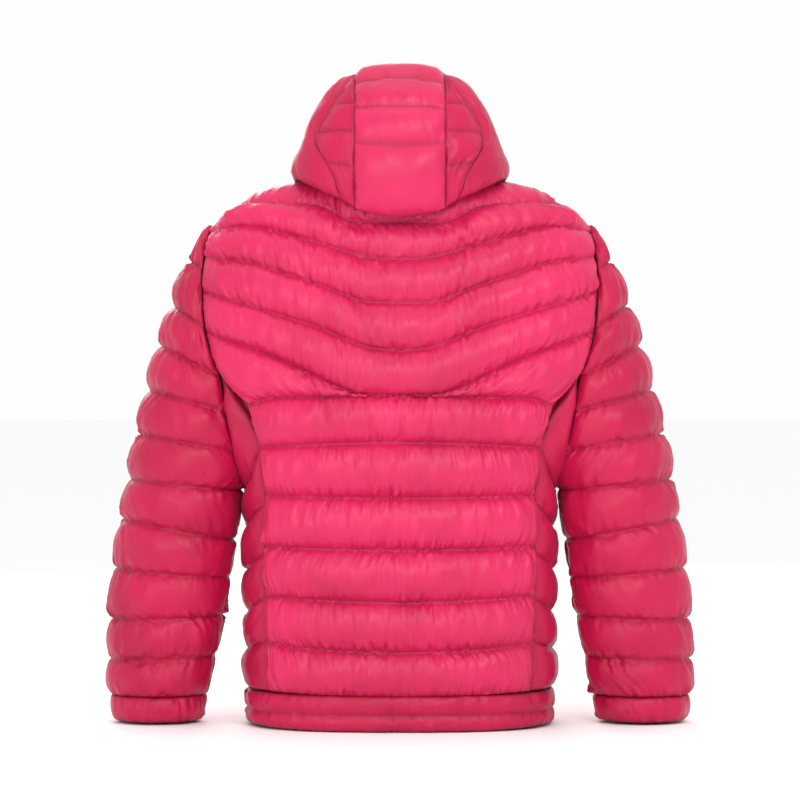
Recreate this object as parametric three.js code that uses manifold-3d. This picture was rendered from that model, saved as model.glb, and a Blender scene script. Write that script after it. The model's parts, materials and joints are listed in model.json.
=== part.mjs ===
// Quilted, insulated ski jacket with a sewn-on hood, standing on its hem.
// Millimetres, +Z up. It faces -Y, its front zip lies in the plane x = 0, and its left side is +X.

import * as THREE from 'three';
import { mergeVertices } from 'three/addons/utils/BufferGeometryUtils.js';
import Module from 'manifold-3d';

const wasm = await Module();
wasm.setup();

// Driving dimensions.
const gap = 0.3; // left between two pieces that touch
const slack = 0.4; // left between two curved layers of cloth

const bodyLength = 680; // hem to shoulder point
const hemHalfWidth = 206.5;
const shoulderHalfWidth = 269;
const shoulderRise = 64; // shoulder point to the top of the shoulder, beside the neck
const frontDepth = 143; // centre front at the hem, ahead of the middle
const frontLean = 33; // how far the centre front leans back over the zip's length
const backDepth = 143; // centre back at its fullest
const bodyFill = 14; // shell, filling and backing of a body panel
const sleeveFill = 12;
const hoodFill = 13;
const liningCloth = 2;

const hemBandHeight = 48;
const princessHalfWidth = 182; // the seam between the back or front and a side panel

const armholeLength = 350;
const sidePanelRise = 156; // underarm to where the princess seam runs out into the armhole
const underarmHalfWidth = 222;
const armholeHalfDepth = 78;
const bicepsHalfDepth = 82;
const cuffHalfDepth = 57;
const sleeveLength = 676; // shoulder point to the end of the cuff, straight down
const cuffHeight = 35;
const liningRise = 6; // the linings stop this far above the hem and the cuffs
const cuffWidth = 124;
const bicepsWidth = 165;
const sleeveFlare = 122; // how far out the outer cuff hangs from the shoulder point

const hoodHeight = 210; // lowest point of the hood's lip at the back to its top
const hoodHalfWidth = 148;
const hoodBackDepth = 142;
const hoodCentreHalfWidth = 62;
const neckHalfWidth = 98;
const neckBackDepth = 80;
const collarThickness = 10;
const collarHeight = 95;
const bindingWidth = 6;
const hoodSplit = 60; // how far the hood's front parts above the zip
const hangLoopHalf = 34;
const hangLoopStandOff = 12;
const hangLoopStrap = 2;
const hangLoopWidth = 8;
const hangLoopRise = 16; // above the neckline at the back

const zipAboveShoulder = 86; // end of the teeth above the shoulder point
const zipStart = 10; // the teeth start this far above the hem
const zipSlotHalfWidth = 7;
const tapeThickness = 1;
const toothThickness = 2.4;
const toothWidth = 2.8;
const toothCentreGap = 0.8; // half the slit that the slider's wedge runs in
const toothDepth = 2.2; // from the outer face of the shell to the teeth
const stormFlapHalfWidth = 22;
const stormFlapRise = 8; // above the hem
const stormFlapStop = 12; // below the neckline
const chinGuardLength = 36;
const chinGuardThickness = 2.4;
const sliderLength = 12;
const sliderHalfWidth = 4.6;
const frontPullerLength = 34;
const pocketPullerLength = 26;

const pocketZipLow = { x: 158, z: 118 };
const pocketZipHigh = { x: 126, z: 272 };
const pocketBagCloth = 3;
const pocketBagInner = 48;
const pocketBagLow = 96;
const pocketBagHigh = 284;

const torsoSides = 20;
const sleeveSides = 12;
const hoodSides = 16;
const torsoSquareness = 2.6; // 2 is an ellipse
const limbSquareness = 2.2;
const far = 1200; // reaches past the whole jacket
const past = 60; // how far a cut runs beyond what it cuts

const finishes = {
  shell: { color: 0xd6335f, roughness: 0.45, metalness: 0 },
  shellDeep: { color: 0xb81d49, roughness: 0.45, metalness: 0 },
  lining: { color: 0x8c1f3b, roughness: 0.8, metalness: 0 },
  tape: { color: 0x8f1536, roughness: 0.85, metalness: 0 },
  teeth: { color: 0xa31a40, roughness: 0.4, metalness: 0 },
  metal: { color: 0x9a9ca0, roughness: 0.35, metalness: 1 },
  puller: { color: 0x6e1830, roughness: 0.6, metalness: 0 },
};

// Solids from three.js geometry.

function solidOf(vertices, triangles) {
  return new wasm.Manifold(
    new wasm.Mesh({
      numProp: 3,
      vertProperties: Float32Array.from(vertices),
      triVerts: Uint32Array.from(triangles),
    }),
  );
}

function solidFrom(geometry) {
  const bare = geometry.clone();
  bare.deleteAttribute('normal');
  bare.deleteAttribute('uv');
  const merged = mergeVertices(bare, 1e-4);
  return solidOf(merged.attributes.position.array, merged.index.array);
}

function mirrored(solid) {
  const mesh = solid.getMesh();
  const vertices = mesh.vertProperties.map((value, i) => (i % 3 === 0 ? -value : value));
  const triangles = [];
  for (let i = 0; i < mesh.triVerts.length; i += 3) {
    triangles.push(mesh.triVerts[i], mesh.triVerts[i + 2], mesh.triVerts[i + 1]);
  }
  return solidOf(vertices, triangles);
}

// The left half of a solid with its own mirror image, as one solid.
function evened(solid) {
  const left = solid.intersect(box([-1, -far, -far], [far, far, far]));
  return left.add(mirrored(left));
}

function placed(solid, matrix) {
  const mesh = solid.getMesh();
  const geometry = new THREE.BufferGeometry();
  geometry.setAttribute('position', new THREE.BufferAttribute(Float32Array.from(mesh.vertProperties), 3));
  geometry.applyMatrix4(matrix);
  return solidOf(geometry.attributes.position.array, mesh.triVerts);
}

function box(low, high) {
  const size = high.map((value, axis) => value - low[axis]);
  const geometry = new THREE.BoxGeometry(...size);
  geometry.translate(...low.map((value, axis) => value + size[axis] / 2));
  return solidFrom(geometry);
}

// A prism along Y whose section is given as [x, z] points, counterclockwise seen from the front.
function prism(points, low, high) {
  const shape = new THREE.Shape(points.map(([x, z]) => new THREE.Vector2(x, z)));
  const geometry = new THREE.ExtrudeGeometry(shape, { depth: high - low, bevelEnabled: false });
  geometry.rotateX(Math.PI / 2);
  geometry.translate(0, high, 0);
  return solidFrom(geometry);
}

// Everything on the side of a plane that its normal points to.
function beyond(point, normal) {
  const geometry = new THREE.BoxGeometry(2 * far, 2 * far, far);
  geometry.translate(0, 0, far / 2);
  const turn = new THREE.Quaternion();
  turn.setFromUnitVectors(new THREE.Vector3(0, 0, 1), normal.clone().normalize());
  geometry.applyQuaternion(turn);
  geometry.translate(point.x, point.y, point.z);
  return solidFrom(geometry);
}

// A closed skin through rings of points that run the same way round, lowest ring first.
function loft(rings) {
  const count = rings[0].length;
  const vertices = rings.flat().flatMap((point) => point.toArray());
  const triangles = [];
  for (let ring = 0; ring < rings.length - 1; ring += 1) {
    for (let side = 0; side < count; side += 1) {
      const next = (side + 1) % count;
      const here = ring * count;
      const above = here + count;
      triangles.push(here + side, here + next, above + side);
      triangles.push(here + next, above + next, above + side);
    }
  }
  const lastRing = (rings.length - 1) * count;
  for (const [points, start, upward] of [[rings[0], 0, false], [rings.at(-1), lastRing, true]]) {
    const middle = vertices.length / 3;
    const centre = points.reduce((sum, point) => sum.add(point), new THREE.Vector3());
    vertices.push(...centre.divideScalar(count).toArray());
    for (let side = 0; side < count; side += 1) {
      const next = (side + 1) % count;
      triangles.push(middle, start + (upward ? side : next), start + (upward ? next : side));
    }
  }
  return solidOf(vertices, triangles);
}

function roundedPower(value, squareness) {
  return Math.sign(value) * Math.abs(value) ** (2 / squareness);
}

// One ring: centre, the direction and size of its long half, and its half depth along Y.
function ring(centre, along, half, depth, sides, squareness) {
  return Array.from({ length: sides }, (_, side) => {
    const angle = (2 * Math.PI * side) / sides;
    const point = centre.clone();
    point.addScaledVector(along, half * roundedPower(Math.cos(angle), squareness));
    point.y += depth * roundedPower(Math.sin(angle), squareness);
    return point;
  });
}

const sideways = new THREE.Vector3(1, 0, 0);

// Rings at each height of a profile, moved inward by inset, square to the profile.
function standingRings(stations, inset, sides) {
  return stations.map((station, i) => {
    const lower = stations[Math.max(i - 1, 0)];
    const upper = stations[Math.min(i + 1, stations.length - 1)];
    const out = new THREE.Vector2(upper.z - lower.z, lower.half - upper.half).normalize();
    const depth = (station.back - station.front) / 2;
    const centre = new THREE.Vector3(0, (station.back + station.front) / 2, station.z - inset * out.y);
    const shrink = inset * out.x;
    return ring(centre, sideways, station.half - shrink, depth - shrink, sides, torsoSquareness);
  });
}

// Body.

const armholeFootHeight = bodyLength - armholeLength;
const sidePanelTop = armholeFootHeight + sidePanelRise;
const zipTop = bodyLength + zipAboveShoulder;
const zipSlope = frontLean / zipTop;
const centreFront = (z) => -frontDepth + zipSlope * z;

// Where the armhole's plane cuts the body, at a share of its climb from underarm to shoulder.
function armholeAt(climb) {
  return {
    z: armholeFootHeight + climb * armholeLength,
    half: THREE.MathUtils.lerp(underarmHalfWidth, shoulderHalfWidth, climb),
  };
}

function torsoStations() {
  const below = [
    { z: 0, back: 0.96 },
    { z: hemBandHeight, back: 0.97 },
    { z: 0.577 * armholeFootHeight, back: 0.98 },
    { z: armholeFootHeight - gap, back: 1 },
  ].map((station) => ({ ...station, half: hemHalfWidth, front: 1 }));
  const beside = [
    { climb: 0.1063, spare: 4, back: 1 },
    { climb: 0.2811, spare: 17, back: 1 },
    { climb: 0.5337, spare: 32, back: 0.95 },
    { climb: 0.7474, spare: 32, back: 0.86 },
    { climb: 0.9029, spare: 14, back: 0.75 },
    { climb: 1, spare: 0, back: 0.67 },
  ].map(({ climb, spare, back }) => {
    const { z, half } = armholeAt(climb);
    return { z, half: half + spare, back, front: 1 };
  });
  const above = [
    { rise: 0.34, half: 0.9, back: 0.62, front: 0.9 },
    { rise: 0.6, half: 0.8, back: 0.55, front: 0.78 },
    { rise: 0.88, half: 0.67, back: 0.42, front: 0.62 },
    { rise: 1, half: 0.55, back: 0.31, front: 0.48 },
  ].map(({ rise, half, back, front }) => {
    const z = bodyLength + rise * shoulderRise;
    return { z, half: half * shoulderHalfWidth, back, front };
  });
  return [...below, ...beside, ...above].map(({ z, half, back, front }) => {
    return { z, half, back: back * backDepth, front: front * centreFront(z) };
  });
}

// The same skin, carried straight on past its lowest ring.
function reaching(rings, reach) {
  return loft([rings[0].map((point) => point.clone().setZ(point.z - reach)), ...rings]);
}

function torso(inset, reach = 1) {
  return reaching(standingRings(torsoStations(), inset, torsoSides), reach);
}

function torsoLayer(outer, inner) {
  return torso(outer).subtract(torso(inner, 10)).intersect(box([-far, -far, 0], [far, far, far]));
}

const armholeBottom = new THREE.Vector3(underarmHalfWidth, 0, armholeFootHeight);
const armholeTop = new THREE.Vector3(shoulderHalfWidth, 0, bodyLength);
const armholeUp = armholeTop.clone().sub(armholeBottom).normalize();
const armholeOut = new THREE.Vector3(armholeUp.z, 0, -armholeUp.x);

function pastArmhole(clearance) {
  return beyond(armholeBottom.clone().addScaledVector(armholeOut, clearance), armholeOut);
}

function withoutArmholes(solid) {
  const cut = pastArmhole(-gap / 2).intersect(box([0, -far, armholeBottom.z], [far, far, far]));
  return solid.subtract(cut).subtract(mirrored(cut));
}

const neckBottomFront = bodyLength - 20;
const neckBottomBack = bodyLength + 18;
const neckFront = centreFront(neckBottomFront + collarHeight) + hoodFill + liningCloth + 3 * slack;

function neckTube(grow, bottom, top) {
  const centre = (neckBackDepth + neckFront) / 2;
  const depth = (neckBackDepth - neckFront) / 2 + grow;
  const rings = [bottom, top].map((z) => {
    const middle = new THREE.Vector3(0, centre, z);
    return ring(middle, sideways, neckHalfWidth + grow, depth, hoodSides, limbSquareness);
  });
  return loft(rings);
}

// The plane on which the collar starts, lower at the front than at the back.
function aboveNeckline(raise) {
  const run = neckBackDepth - neckFront;
  const rise = neckBottomBack - neckBottomFront;
  const point = new THREE.Vector3(0, neckFront, neckBottomFront + raise);
  return beyond(point, new THREE.Vector3(0, -rise, run));
}

function withoutNeck(solid) {
  const hole = neckTube(gap, neckBottomFront - past, bodyLength + 2 * shoulderRise);
  return solid.subtract(hole.intersect(aboveNeckline(-gap)));
}

// The outline of the back and of the front, seen square on: side panels lie outside it.
function mainPanelOutline(spread) {
  const half = princessHalfWidth + spread;
  const low = hemBandHeight + gap;
  const right = [
    [half, low],
    [half, 0.66 * sidePanelTop],
    [half + 12, 0.83 * sidePanelTop],
    [half + 24, 0.9 * sidePanelTop],
    [half + 62, sidePanelTop],
    [far / 2, sidePanelTop + 12],
    [far / 2, far],
  ];
  const left = right.map(([x, z]) => [-x, z]).reverse();
  return [...right, ...left];
}

const shoulderSeam = -6;

function zipSlot(top) {
  return box([-zipSlotHalfWidth, -far, -far], [zipSlotHalfWidth, shoulderSeam, top]);
}

function bodyPanels() {
  const shell = withoutNeck(withoutArmholes(torsoLayer(0, bodyFill)));
  const band = shell.intersect(box([-far, -far, 0], [far, far, hemBandHeight]));
  const above = shell.intersect(box([-far, -far, hemBandHeight + gap], [far, far, far]));
  const back = above.intersect(prism(mainPanelOutline(0), shoulderSeam + gap, far));
  const front = above.intersect(prism(mainPanelOutline(0), -far, shoulderSeam)).subtract(zipSlot(far));
  const frontLeft = withPocket(front.intersect(box([0, -far, 0], [far, far, far])));
  const side = above
    .subtract(prism(mainPanelOutline(gap), -far, far))
    .intersect(box([0, -far, 0], [far, far, far]));
  return {
    hem_band: evened(band.subtract(zipSlot(far))),
    back_panel: evened(back),
    front_panel_left: frontLeft,
    front_panel_right: mirrored(frontLeft),
    side_panel_left: side,
    side_panel_right: mirrored(side),
  };
}

function bodyLining() {
  const outer = bodyFill + slack;
  const layer = withoutNeck(withoutArmholes(torsoLayer(outer, outer + liningCloth)));
  const opening = stormFlapHalfWidth + gap;
  const lining = layer
    .intersect(box([-far, -far, liningRise], [far, far, far]))
    .subtract(box([-opening, -far, -far], [opening, shoulderSeam, far]));
  return evened(lining);
}

function stormFlap() {
  const outer = bodyFill + slack;
  const strip = box(
    [-stormFlapHalfWidth, -far, stormFlapRise],
    [stormFlapHalfWidth, 0, neckBottomFront - stormFlapStop],
  );
  return torsoLayer(outer, outer + liningCloth).intersect(strip);
}

// Pockets. Both are made on the left and mirrored.

function frontSurface(x, z) {
  const stations = torsoStations();
  const upper = stations.findIndex((station) => station.z > z);
  const [low, high] = [stations[upper - 1], stations[upper]];
  const share = (z - low.z) / (high.z - low.z);
  const at = (name) => THREE.MathUtils.lerp(low[name], high[name], share);
  const depth = (at('back') - at('front')) / 2;
  const fall = (1 - (Math.abs(x) / at('half')) ** torsoSquareness) ** (1 / torsoSquareness);
  return new THREE.Vector3(x, (at('back') + at('front')) / 2 - depth * fall, z);
}

// The pocket zip's frame: X across it, Y into the jacket and Z up along it.
function pocketFrame() {
  const low = frontSurface(pocketZipLow.x, pocketZipLow.z);
  const high = frontSurface(pocketZipHigh.x, pocketZipHigh.z);
  const middle = low.clone().lerp(high, 0.5);
  const outside = frontSurface(middle.x + 8, middle.z);
  const inside = frontSurface(middle.x - 8, middle.z);
  const up = high.clone().sub(low).normalize();
  const into = up.clone().cross(outside.sub(inside)).normalize();
  const across = into.clone().cross(up).normalize();
  return new THREE.Matrix4().makeBasis(across, into, up).setPosition(low);
}

const pocketZipLength = Math.hypot(pocketZipHigh.x - pocketZipLow.x, pocketZipHigh.z - pocketZipLow.z);

function pocketBagOutline(grow) {
  const outer = [pocketZipLow.x + 14 + grow, pocketZipHigh.x + 18 + grow];
  return [
    [pocketBagInner - grow, pocketBagLow - grow],
    [outer[0], pocketBagLow - grow],
    [outer[1], pocketBagHigh + grow],
    [pocketBagInner - grow, pocketBagHigh + grow],
  ];
}

function pocketBag() {
  const layer = torsoLayer(bodyFill - pocketBagCloth, bodyFill - gap / 2);
  return layer.intersect(prism(pocketBagOutline(0), -far, 0));
}

function withPocket(panel) {
  const room = torsoLayer(bodyFill - pocketBagCloth - gap, bodyFill + 1);
  const hollow = room.intersect(prism(pocketBagOutline(gap), -far, 0));
  const slot = box(
    [-zipSlotHalfWidth, -20, -gap],
    [zipSlotHalfWidth, bodyFill + 6, pocketZipLength + gap],
  );
  return panel.subtract(hollow).subtract(placed(slot, pocketFrame()));
}

// Zips. Each piece is made upright at the origin: X across, Y into the jacket, Z along the zip.

const tapeDepth = toothDepth + toothThickness + gap;
const sliderFront = 0.4;
const sliderBack = tapeDepth + tapeThickness + gap;
const plateThickness = 1.2;
const bailHalfWidth = 1;
const bailHalfLength = 3.6;
const bailThickness = 0.9;
const barHalfThickness = 0.7;
const barDepth = sliderFront - 2;
const bailOuter = barDepth - barHalfThickness - gap - bailThickness;

function zipTape(length) {
  const front = tapeDepth;
  return box([toothCentreGap, front, 0], [zipSlotHalfWidth - gap, front + tapeThickness, length]);
}

function zipTeeth(length) {
  return box(
    [toothCentreGap, toothDepth, 0],
    [toothCentreGap + toothWidth, toothDepth + toothThickness, length],
  );
}

// Both sides of a short zip, joined at its two ends as the stops hold them.
function bothSides(side, length, stop, front, thickness) {
  const halves = side.add(mirrored(side));
  const reach = toothCentreGap + toothWidth;
  const low = box([-reach, front, 0], [reach, front + thickness, stop]);
  const high = box([-reach, front, length - stop], [reach, front + thickness, length]);
  return halves.add(low).add(high);
}

// The slider's two plates, the wedge between them and the bail on its front. Its middle is z = 0.
function zipSlider() {
  const half = sliderLength / 2;
  const front = box(
    [-sliderHalfWidth, sliderFront, -half],
    [sliderHalfWidth, sliderFront + plateThickness, half],
  );
  const back = box(
    [-sliderHalfWidth, sliderBack, -half],
    [sliderHalfWidth, sliderBack + plateThickness, half],
  );
  const wedgeHalf = toothCentreGap - gap;
  const wedge = box([-wedgeHalf, sliderFront, 0.1 * half], [wedgeHalf, sliderBack + plateThickness, half]);
  const arch = box(
    [-bailHalfWidth, bailOuter, -bailHalfLength],
    [bailHalfWidth, sliderFront, bailHalfLength],
  );
  const under = bailHalfLength - bailThickness;
  const eye = box([-far, bailOuter + bailThickness, -under], [far, sliderFront, under]);
  const foot = box(
    [-bailHalfWidth, sliderFront - 0.1, -bailHalfLength],
    [bailHalfWidth, sliderFront + 0.1, bailHalfLength],
  );
  return front.add(back).add(wedge).add(arch.subtract(eye)).add(foot);
}

// The puller hangs from its crossbar, which lies under the bail at z = 0.
function zipPuller(length) {
  const armInner = bailHalfWidth + 0.5;
  const armOuter = armInner + 1.3;
  const windowBottom = -bailHalfLength - 2.5;
  const front = barDepth - barHalfThickness;
  const back = barDepth + barHalfThickness;
  const outline = box([-armOuter, front, -length], [armOuter, back, barHalfThickness]);
  const window = box([-armInner, -far, windowBottom], [armInner, far, -barHalfThickness]);
  return outline.subtract(window);
}

const zipFrame = new THREE.Matrix4()
  .makeRotationX(-Math.atan(zipSlope))
  .setPosition(0, centreFront(0), 0);
const zipLength = zipTop * Math.hypot(1, zipSlope);
const sliderRest = zipLength - sliderLength / 2 - 4;

function along(matrix, distance) {
  return matrix.clone().multiply(new THREE.Matrix4().makeTranslation(0, 0, distance));
}

function frontZip() {
  const runLength = zipLength - zipStart;
  const start = along(zipFrame, zipStart);
  const tape = placed(zipTape(runLength), start);
  const teeth = placed(zipTeeth(runLength - 3), start);
  const reach = toothCentreGap + toothWidth;
  const stop = box([toothCentreGap, toothDepth - 0.4, 0], [reach, toothDepth + toothThickness, 2.4]);
  const topStop = placed(stop, along(zipFrame, zipLength - 3 + gap));
  const pinLength = zipStart - 2 - gap;
  const pin = box([toothCentreGap, toothDepth, 0], [reach, toothDepth + toothThickness, pinLength]);
  const retainer = box([-reach - 1, toothDepth - 1, 0], [-toothCentreGap, tapeDepth + 1, pinLength]);
  return {
    front_zip_tape_left: [tape, finishes.tape],
    front_zip_tape_right: [mirrored(tape), finishes.tape],
    front_zip_teeth_left: [teeth, finishes.teeth],
    front_zip_teeth_right: [mirrored(teeth), finishes.teeth],
    front_zip_top_stop_left: [topStop, finishes.metal],
    front_zip_top_stop_right: [mirrored(topStop), finishes.metal],
    front_zip_insertion_pin: [placed(pin, along(zipFrame, 2)), finishes.metal],
    front_zip_retainer_box: [placed(retainer, along(zipFrame, 2)), finishes.metal],
    front_zip_slider: [placed(zipSlider(), along(zipFrame, sliderRest)), finishes.metal],
    front_zip_puller: [placed(zipPuller(frontPullerLength), along(zipFrame, sliderRest)), finishes.puller],
  };
}

function pocketZip() {
  const frame = pocketFrame();
  const stop = 2;
  const tape = bothSides(zipTape(pocketZipLength), pocketZipLength, stop, tapeDepth, tapeThickness);
  const teeth = bothSides(zipTeeth(pocketZipLength), pocketZipLength, stop, toothDepth, toothThickness);
  const rest = pocketZipLength - stop - gap - sliderLength / 2;
  return {
    tape: [placed(tape, frame), finishes.tape],
    teeth: [placed(teeth, frame), finishes.teeth],
    slider: [placed(zipSlider(), along(frame, rest)), finishes.metal],
    puller: [placed(zipPuller(pocketPullerLength), along(frame, rest)), finishes.puller],
  };
}

// Sleeves. Both are made on the left and mirrored.

const cuffBottom = bodyLength - sleeveLength;
const cuffOuter = new THREE.Vector2(shoulderHalfWidth + sleeveFlare, cuffBottom);
const cuffInner = new THREE.Vector2(cuffOuter.x - cuffWidth, cuffBottom);
const bicepsHeight = bodyLength - 1.08 * armholeLength;
const bicepsInner = new THREE.Vector2(underarmHalfWidth - 10, bicepsHeight);
const bicepsOuter = new THREE.Vector2(bicepsInner.x + bicepsWidth, bicepsHeight);
const fanSteps = 4;
const taperSteps = 3;

function curve(start, control, end) {
  return new THREE.QuadraticBezierCurve(start, new THREE.Vector2(...control), end);
}

// Pairs of points, inner and outer, from the cuff up to the armhole, with the half depth at each.
function sleeveStations() {
  const lowOuter = curve(cuffOuter, [cuffOuter.x + 5, 0.5 * bicepsHeight], bicepsOuter);
  const lowInner = curve(cuffInner, [underarmHalfWidth + 4, 0.55 * bicepsHeight], bicepsInner);
  const foot = armholeAt(0.116);
  const armholeFoot = new THREE.Vector2(foot.half + 1.5, foot.z);
  const armholeHead = new THREE.Vector2(shoulderHalfWidth, bodyLength + 5);
  const bend = [shoulderHalfWidth + 76, bodyLength - 0.47 * armholeLength];
  const highOuter = curve(bicepsOuter, bend, armholeHead);
  const stations = [];
  for (let step = 0; step < taperSteps; step += 1) {
    const share = step / taperSteps;
    const depth = THREE.MathUtils.lerp(cuffHalfDepth, bicepsHalfDepth, share);
    stations.push({ inner: lowInner.getPoint(share), outer: lowOuter.getPoint(share), depth });
  }
  for (let step = 0; step <= fanSteps; step += 1) {
    const share = step / fanSteps;
    const depth = THREE.MathUtils.lerp(bicepsHalfDepth, armholeHalfDepth, share);
    const inner = bicepsInner.clone().lerp(armholeFoot, share);
    stations.push({ inner, outer: highOuter.getPoint(share), depth });
  }
  return stations;
}

function sleeveTube(inset, reach = 1) {
  const rings = sleeveStations().map(({ inner, outer, depth }) => {
    const span = outer.clone().sub(inner);
    const middle = inner.clone().lerp(outer, 0.5);
    const direction = new THREE.Vector3(span.x, 0, span.y).normalize();
    const centre = new THREE.Vector3(middle.x, shoulderSeam, middle.y);
    return ring(centre, direction, span.length() / 2 - inset, depth - inset, sleeveSides, limbSquareness);
  });
  const into = armholeOut.clone().multiplyScalar(-14 - reach);
  rings.push(rings.at(-1).map((point) => point.clone().add(into)));
  return reaching(rings, reach);
}

function sleeveLayer(outer, inner) {
  const hanging = pastArmhole(gap / 2).intersect(box([-far, -far, cuffBottom], [far, far, far]));
  return sleeveTube(outer).subtract(sleeveTube(inner, 10)).intersect(hanging);
}

function sleevePieces() {
  const shell = sleeveLayer(0, sleeveFill);
  const outer = sleeveFill + slack;
  const lining = sleeveLayer(outer, outer + liningCloth);
  const cuffTop = cuffBottom + cuffHeight;
  const aboveLiningHem = box([-far, -far, cuffBottom + liningRise], [far, far, far]);
  return {
    sleeve: [shell.intersect(box([-far, -far, cuffTop + gap], [far, far, far])), finishes.shellDeep],
    cuff: [shell.intersect(box([-far, -far, -far], [far, far, cuffTop])), finishes.shellDeep],
    sleeve_lining: [lining.intersect(aboveLiningHem), finishes.lining],
  };
}

// Hood and neck.

const hoodBottom = neckBottomBack - 6;
const hoodTop = hoodBottom + hoodHeight;

function hoodStations() {
  const profile = [
    { share: -0.06, half: 0.98, back: 0.9 },
    { share: 0.25, half: 0.99, back: 0.98 },
    { share: 0.32, half: 1, back: 1 },
    { share: 0.48, half: 0.915, back: 0.98 },
    { share: 0.6, half: 0.87, back: 0.93 },
    { share: 0.7, half: 0.8, back: 0.86 },
    { share: 0.79, half: 0.72, back: 0.77 },
    { share: 0.87, half: 0.6, back: 0.66 },
    { share: 0.93, half: 0.49, back: 0.55 },
    { share: 0.975, half: 0.35, back: 0.42 },
    { share: 1, half: 0.16, back: 0.28 },
  ];
  return profile.map(({ share, half, back }) => {
    const z = hoodBottom + share * hoodHeight;
    const front = centreFront(z) + Math.max(0, share - 0.45) * 80;
    return { z, half: half * hoodHalfWidth, back: back * hoodBackDepth, front };
  });
}

function hoodDome(inset, reach = 1) {
  return reaching(standingRings(hoodStations(), inset, hoodSides), reach);
}

// The face opening, seen from the side: level over the chin, then up and back to the brow.
function faceOpening(grow) {
  const chin = zipTop + 2 - grow;
  const cheek = centreFront(zipTop) + hoodFill;
  const points = [
    [-far, chin],
    [cheek + 12, chin],
    [cheek + 34 + grow, chin + 26],
    [cheek + 66 + grow, hoodTop + 20],
    [-far, hoodTop + 20],
  ];
  const shape = new THREE.Shape(points.map(([y, z]) => new THREE.Vector2(y, z)));
  const geometry = new THREE.ExtrudeGeometry(shape, { depth: 2 * far, bevelEnabled: false });
  geometry.rotateX(Math.PI / 2);
  geometry.rotateZ(Math.PI / 2);
  geometry.translate(-far, 0, 0);
  return solidFrom(geometry);
}

// The lip of the hood is lowest at the centre back and climbs to the shoulders.
function hoodOutline() {
  const lip = [];
  const steps = 10;
  for (let step = 0; step <= steps; step += 1) {
    const x = hoodHalfWidth * ((2 * step) / steps - 1) * 1.1;
    lip.push([x, hoodBottom + 54 * (x / hoodHalfWidth) ** 2]);
  }
  return [...lip, [far / 2, hoodBottom + 66], [far / 2, far], [-far / 2, far], [-far / 2, hoodBottom + 66]];
}

function hoodLayer(outer, inner) {
  return hoodDome(outer)
    .subtract(hoodDome(inner, 10))
    .intersect(prism(hoodOutline(), -far, far))
    .subtract(torso(-gap));
}

// The side panel, seen from behind: between the centre panel and the roll round the neck.
function hoodSideOutline(shrink) {
  const low = hoodBottom;
  const inner = hoodCentreHalfWidth + gap;
  return [
    [inner, low + 24 + shrink],
    [86 - shrink, low + 40],
    [108 - shrink, low + 74],
    [112 - shrink, low + 98],
    [106 - shrink, low + 132],
    [94 - shrink, low + 156],
    [78 - shrink, far / 2 + low],
    [inner, far],
  ];
}

function hoodPieces() {
  const chinSlot = zipSlot(zipTop + hoodSplit);
  const shell = hoodLayer(0, hoodFill).subtract(faceOpening(bindingWidth)).subtract(chinSlot);
  const centre = hoodCentreHalfWidth;
  const behind = [shoulderSeam + gap, far];
  const centrePanel = shell.intersect(box([-centre, behind[0], 0], [centre, behind[1], far]));
  const left = shell.intersect(box([0, -far, 0], [far, far, far]));
  const side = left.intersect(prism(hoodSideOutline(0), ...behind));
  const roll = left
    .subtract(box([-far, shoulderSeam, 0], [centre + gap, far, far]))
    .subtract(prism(hoodSideOutline(-gap), shoulderSeam, far));
  const outer = hoodFill + slack;
  const lining = hoodLayer(outer, outer + liningCloth).subtract(faceOpening(bindingWidth));
  const binding = hoodLayer(0, outer + liningCloth)
    .subtract(faceOpening(0))
    .intersect(faceOpening(bindingWidth - gap));
  return {
    hood_centre_panel: [centrePanel, finishes.shell],
    hood_side_panel_left: [side, finishes.shell],
    hood_side_panel_right: [mirrored(side), finishes.shell],
    hood_roll_left: [roll, finishes.shell],
    hood_roll_right: [mirrored(roll), finishes.shell],
    hood_lining: [evened(lining.subtract(chinSlot)), finishes.lining],
    hood_binding: [binding.subtract(chinSlot), finishes.shellDeep],
  };
}

function collar() {
  const top = neckBottomFront + collarHeight;
  const tube = neckTube(0, neckBottomFront - past, top).subtract(
    neckTube(-collarThickness, neckBottomFront - 2 * past, top + past),
  );
  const split = box([-2, -far, 0], [2, 0, far]);
  return tube.intersect(aboveNeckline(0)).subtract(split);
}

// A flat strap sewn at both ends to the inside of the collar, standing off in a shallow arch.
function hangLoop() {
  const half = hangLoopHalf;
  const share = half / (neckHalfWidth - collarThickness);
  const seat = (1 - share ** limbSquareness) ** (1 / limbSquareness);
  const centre = (neckBackDepth + neckFront) / 2;
  const wall = centre + ((neckBackDepth - neckFront) / 2 - collarThickness) * seat - 2.5 * gap;
  const shape = new THREE.Shape();
  shape.moveTo(-half, wall);
  shape.quadraticCurveTo(0, wall - 2 * hangLoopStandOff, half, wall);
  const inner = half - 2.5 * hangLoopStrap;
  shape.lineTo(inner, wall);
  shape.quadraticCurveTo(0, wall - 2 * (hangLoopStandOff - hangLoopStrap), -inner, wall);
  shape.closePath();
  const geometry = new THREE.ExtrudeGeometry(shape, {
    depth: hangLoopWidth,
    bevelEnabled: false,
    curveSegments: 6,
  });
  geometry.translate(0, 0, neckBottomBack + hangLoopRise);
  return solidFrom(geometry);
}

function chinGuard() {
  const half = zipSlotHalfWidth - 2 * gap;
  const front = sliderBack + plateThickness + 2 * gap;
  const guard = box([-half, front, 0], [half, front + chinGuardThickness, chinGuardLength]);
  return placed(guard, along(zipFrame, zipLength + 2 - chinGuardLength));
}

// Assembly.

const jacket = new THREE.Group();

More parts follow.
